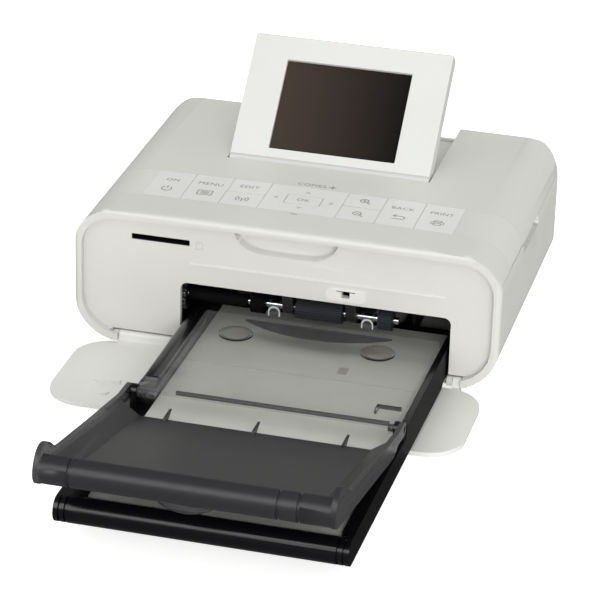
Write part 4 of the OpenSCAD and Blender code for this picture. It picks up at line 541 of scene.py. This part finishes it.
# the world lights the object at worldStrength, glossy faces see a dim room with one softbox in it, and
# the camera sees plain white; softboxEdge holds the two cosines between which the softbox fades in
stageLook = {"floorSize": 6.0, "floorColour": "#F2F2F0", "floorGlow": 0.7, "worldStrength": 0.78,
             "backdropStrength": 1.0, "mirroredStrength": 0.18, "softboxWay": (-0.25, -0.72, 0.65),
             "softboxEdge": (0.92, 0.95), "softboxStrength": 4.5}
white = (1, 1, 1, 1)

floorWork = bmesh.new()
bmesh.ops.create_grid(floorWork, x_segments=1, y_segments=1, size=stageLook["floorSize"] / 2)
floorMesh = bpy.data.meshes.new("Floor")
floorWork.to_mesh(floorMesh)
floorWork.free()
floor = bpy.data.objects.new("Floor", floorMesh)
bpy.context.scene.collection.objects.link(floor)

floorPaint, floorShader = newMaterial("PaleFloor", {
    "colour": stageLook["floorColour"], "sockets": {"Roughness": 0.9, "Specular IOR Level": 0.0}})
floor.data.materials.append(floorPaint)
rays = addNode(floorPaint, "ShaderNodeLightPath")
seen = addNode(floorPaint, "ShaderNodeMath", {"operation": "MAXIMUM"},
               links={0: rays.outputs["Is Camera Ray"], 1: rays.outputs["Is Transmission Ray"]})
glow = addNode(floorPaint, "ShaderNodeEmission", values={"Color": white, "Strength": stageLook["floorGlow"]})
brightFloor = addNode(floorPaint, "ShaderNodeAddShader",
                      links={0: floorShader.outputs["BSDF"], 1: glow.outputs["Emission"]})
floorOrBright = addNode(floorPaint, "ShaderNodeMixShader", links={
    0: seen.outputs["Value"], 1: floorShader.outputs["BSDF"], 2: brightFloor.outputs["Shader"]})
mirroredFloor = addNode(floorPaint, "ShaderNodeEmission", values={
    "Color": white, "Strength": stageLook["mirroredStrength"]})
wholeFloor = addNode(floorPaint, "ShaderNodeMixShader", links={
    0: rays.outputs["Is Glossy Ray"], 1: floorOrBright.outputs["Shader"],
    2: mirroredFloor.outputs["Emission"]})
floorOutput = floorPaint.node_tree.nodes["Material Output"]
floorPaint.node_tree.links.new(wholeFloor.outputs["Shader"], floorOutput.inputs["Surface"])

world = bpy.data.worlds.new("Studio")
bpy.context.scene.world = world
world.use_nodes = True
worldRays = addNode(world, "ShaderNodeLightPath")
room = addNode(world, "ShaderNodeBackground", values={
    "Color": white, "Strength": stageLook["worldStrength"]})
looking = addNode(world, "ShaderNodeTexCoord")
nearSoftbox = addNode(world, "ShaderNodeVectorMath", {"operation": "DOT_PRODUCT"},
                      values={1: Vector(stageLook["softboxWay"]).normalized()},
                      links={0: looking.outputs["Generated"]})
softboxStart, softboxFull = stageLook["softboxEdge"]
softboxGlow = addNode(world, "ShaderNodeMapRange", {"clamp": True},
                      values={"From Min": softboxStart, "From Max": softboxFull,
                              "To Min": stageLook["mirroredStrength"],
                              "To Max": stageLook["softboxStrength"]},
                      links={"Value": nearSoftbox.outputs["Value"]})
mirroredRoom = addNode(world, "ShaderNodeBackground", values={"Color": white},
                       links={"Strength": softboxGlow.outputs["Result"]})
backdrop = addNode(world, "ShaderNodeBackground", values={
    "Color": white, "Strength": stageLook["backdropStrength"]})
roomOrMirror = addNode(world, "ShaderNodeMixShader", links={
    0: worldRays.outputs["Is Glossy Ray"], 1: room.outputs["Background"],
    2: mirroredRoom.outputs["Background"]})
wholeRoom = addNode(world, "ShaderNodeMixShader", links={
    0: worldRays.outputs["Is Camera Ray"], 1: roomOrMirror.outputs["Shader"],
    2: backdrop.outputs["Background"]})
worldOutput = world.node_tree.nodes["World Output"]
world.node_tree.links.new(wholeRoom.outputs["Shader"], worldOutput.inputs["Surface"])

lampAim = Vector((0, 0, 0.03))  # all lamps point here, in m
lampLooks = [
    {"name": "KeyLamp", "place": (0.25, -0.6, 1.7), "size": 0.9, "power": 2},
    {"name": "BackLamp", "place": (0.1, 0.55, 1.7), "size": 0.7, "power": 1.5},
    {"name": "FrontLamp", "place": (0.75, -1.9, 0.4), "size": 1.2, "power": 25},
]
for look in lampLooks:
    lampData = bpy.data.lights.new(look["name"], "AREA")
    lampData.size = look["size"]
    lampData.energy = look["power"]
    lamp = bpy.data.objects.new(look["name"], lampData)
    lamp.location = look["place"]
    lamp.rotation_euler = (lampAim - Vector(look["place"])).to_track_quat("-Z", "Y").to_euler()
    bpy.context.scene.collection.objects.link(lamp)

cameraLook = {  # in m from the middle of the housing at table level, and in degrees
    "place": (0.2806, -1.15851, 0.56877), "azimuth": 14.17, "elevation": 25.45, "roll": 1.60,
    "focalPixels": 3020.07, "imageWidth": 592, "sensorWidth": 36, "nearClip": 0.05,
}
azimuth = math.radians(cameraLook["azimuth"])
elevation = math.radians(cameraLook["elevation"])
roll = math.radians(cameraLook["roll"])
forward = Vector((-math.sin(azimuth) * math.cos(elevation), math.cos(azimuth) * math.cos(elevation),
                  -math.sin(elevation)))
right = forward.cross(Vector((0, 0, 1))).normalized()
up = right.cross(forward)
turnedRight = math.cos(roll) * right + math.sin(roll) * up
turnedUp = -math.sin(roll) * right + math.cos(roll) * up
cameraData = bpy.data.cameras.new("Camera")
cameraData.sensor_width = cameraLook["sensorWidth"]
cameraData.sensor_fit = "HORIZONTAL"
cameraData.lens = cameraLook["focalPixels"] / cameraLook["imageWidth"] * cameraData.sensor_width
cameraData.clip_start = cameraLook["nearClip"]
camera = bpy.data.objects.new("Camera", cameraData)
cameraPlace = Vector(cameraLook["place"]) + Vector((0, housingShift, 0))
cameraTurn = Matrix((turnedRight, turnedUp, -forward)).transposed().to_4x4()
camera.matrix_world = Matrix.Translation(cameraPlace) @ cameraTurn
bpy.context.scene.collection.objects.link(camera)
bpy.context.scene.camera = camera
bpy.context.scene.view_settings.view_transform = "Standard"
print("stage set")
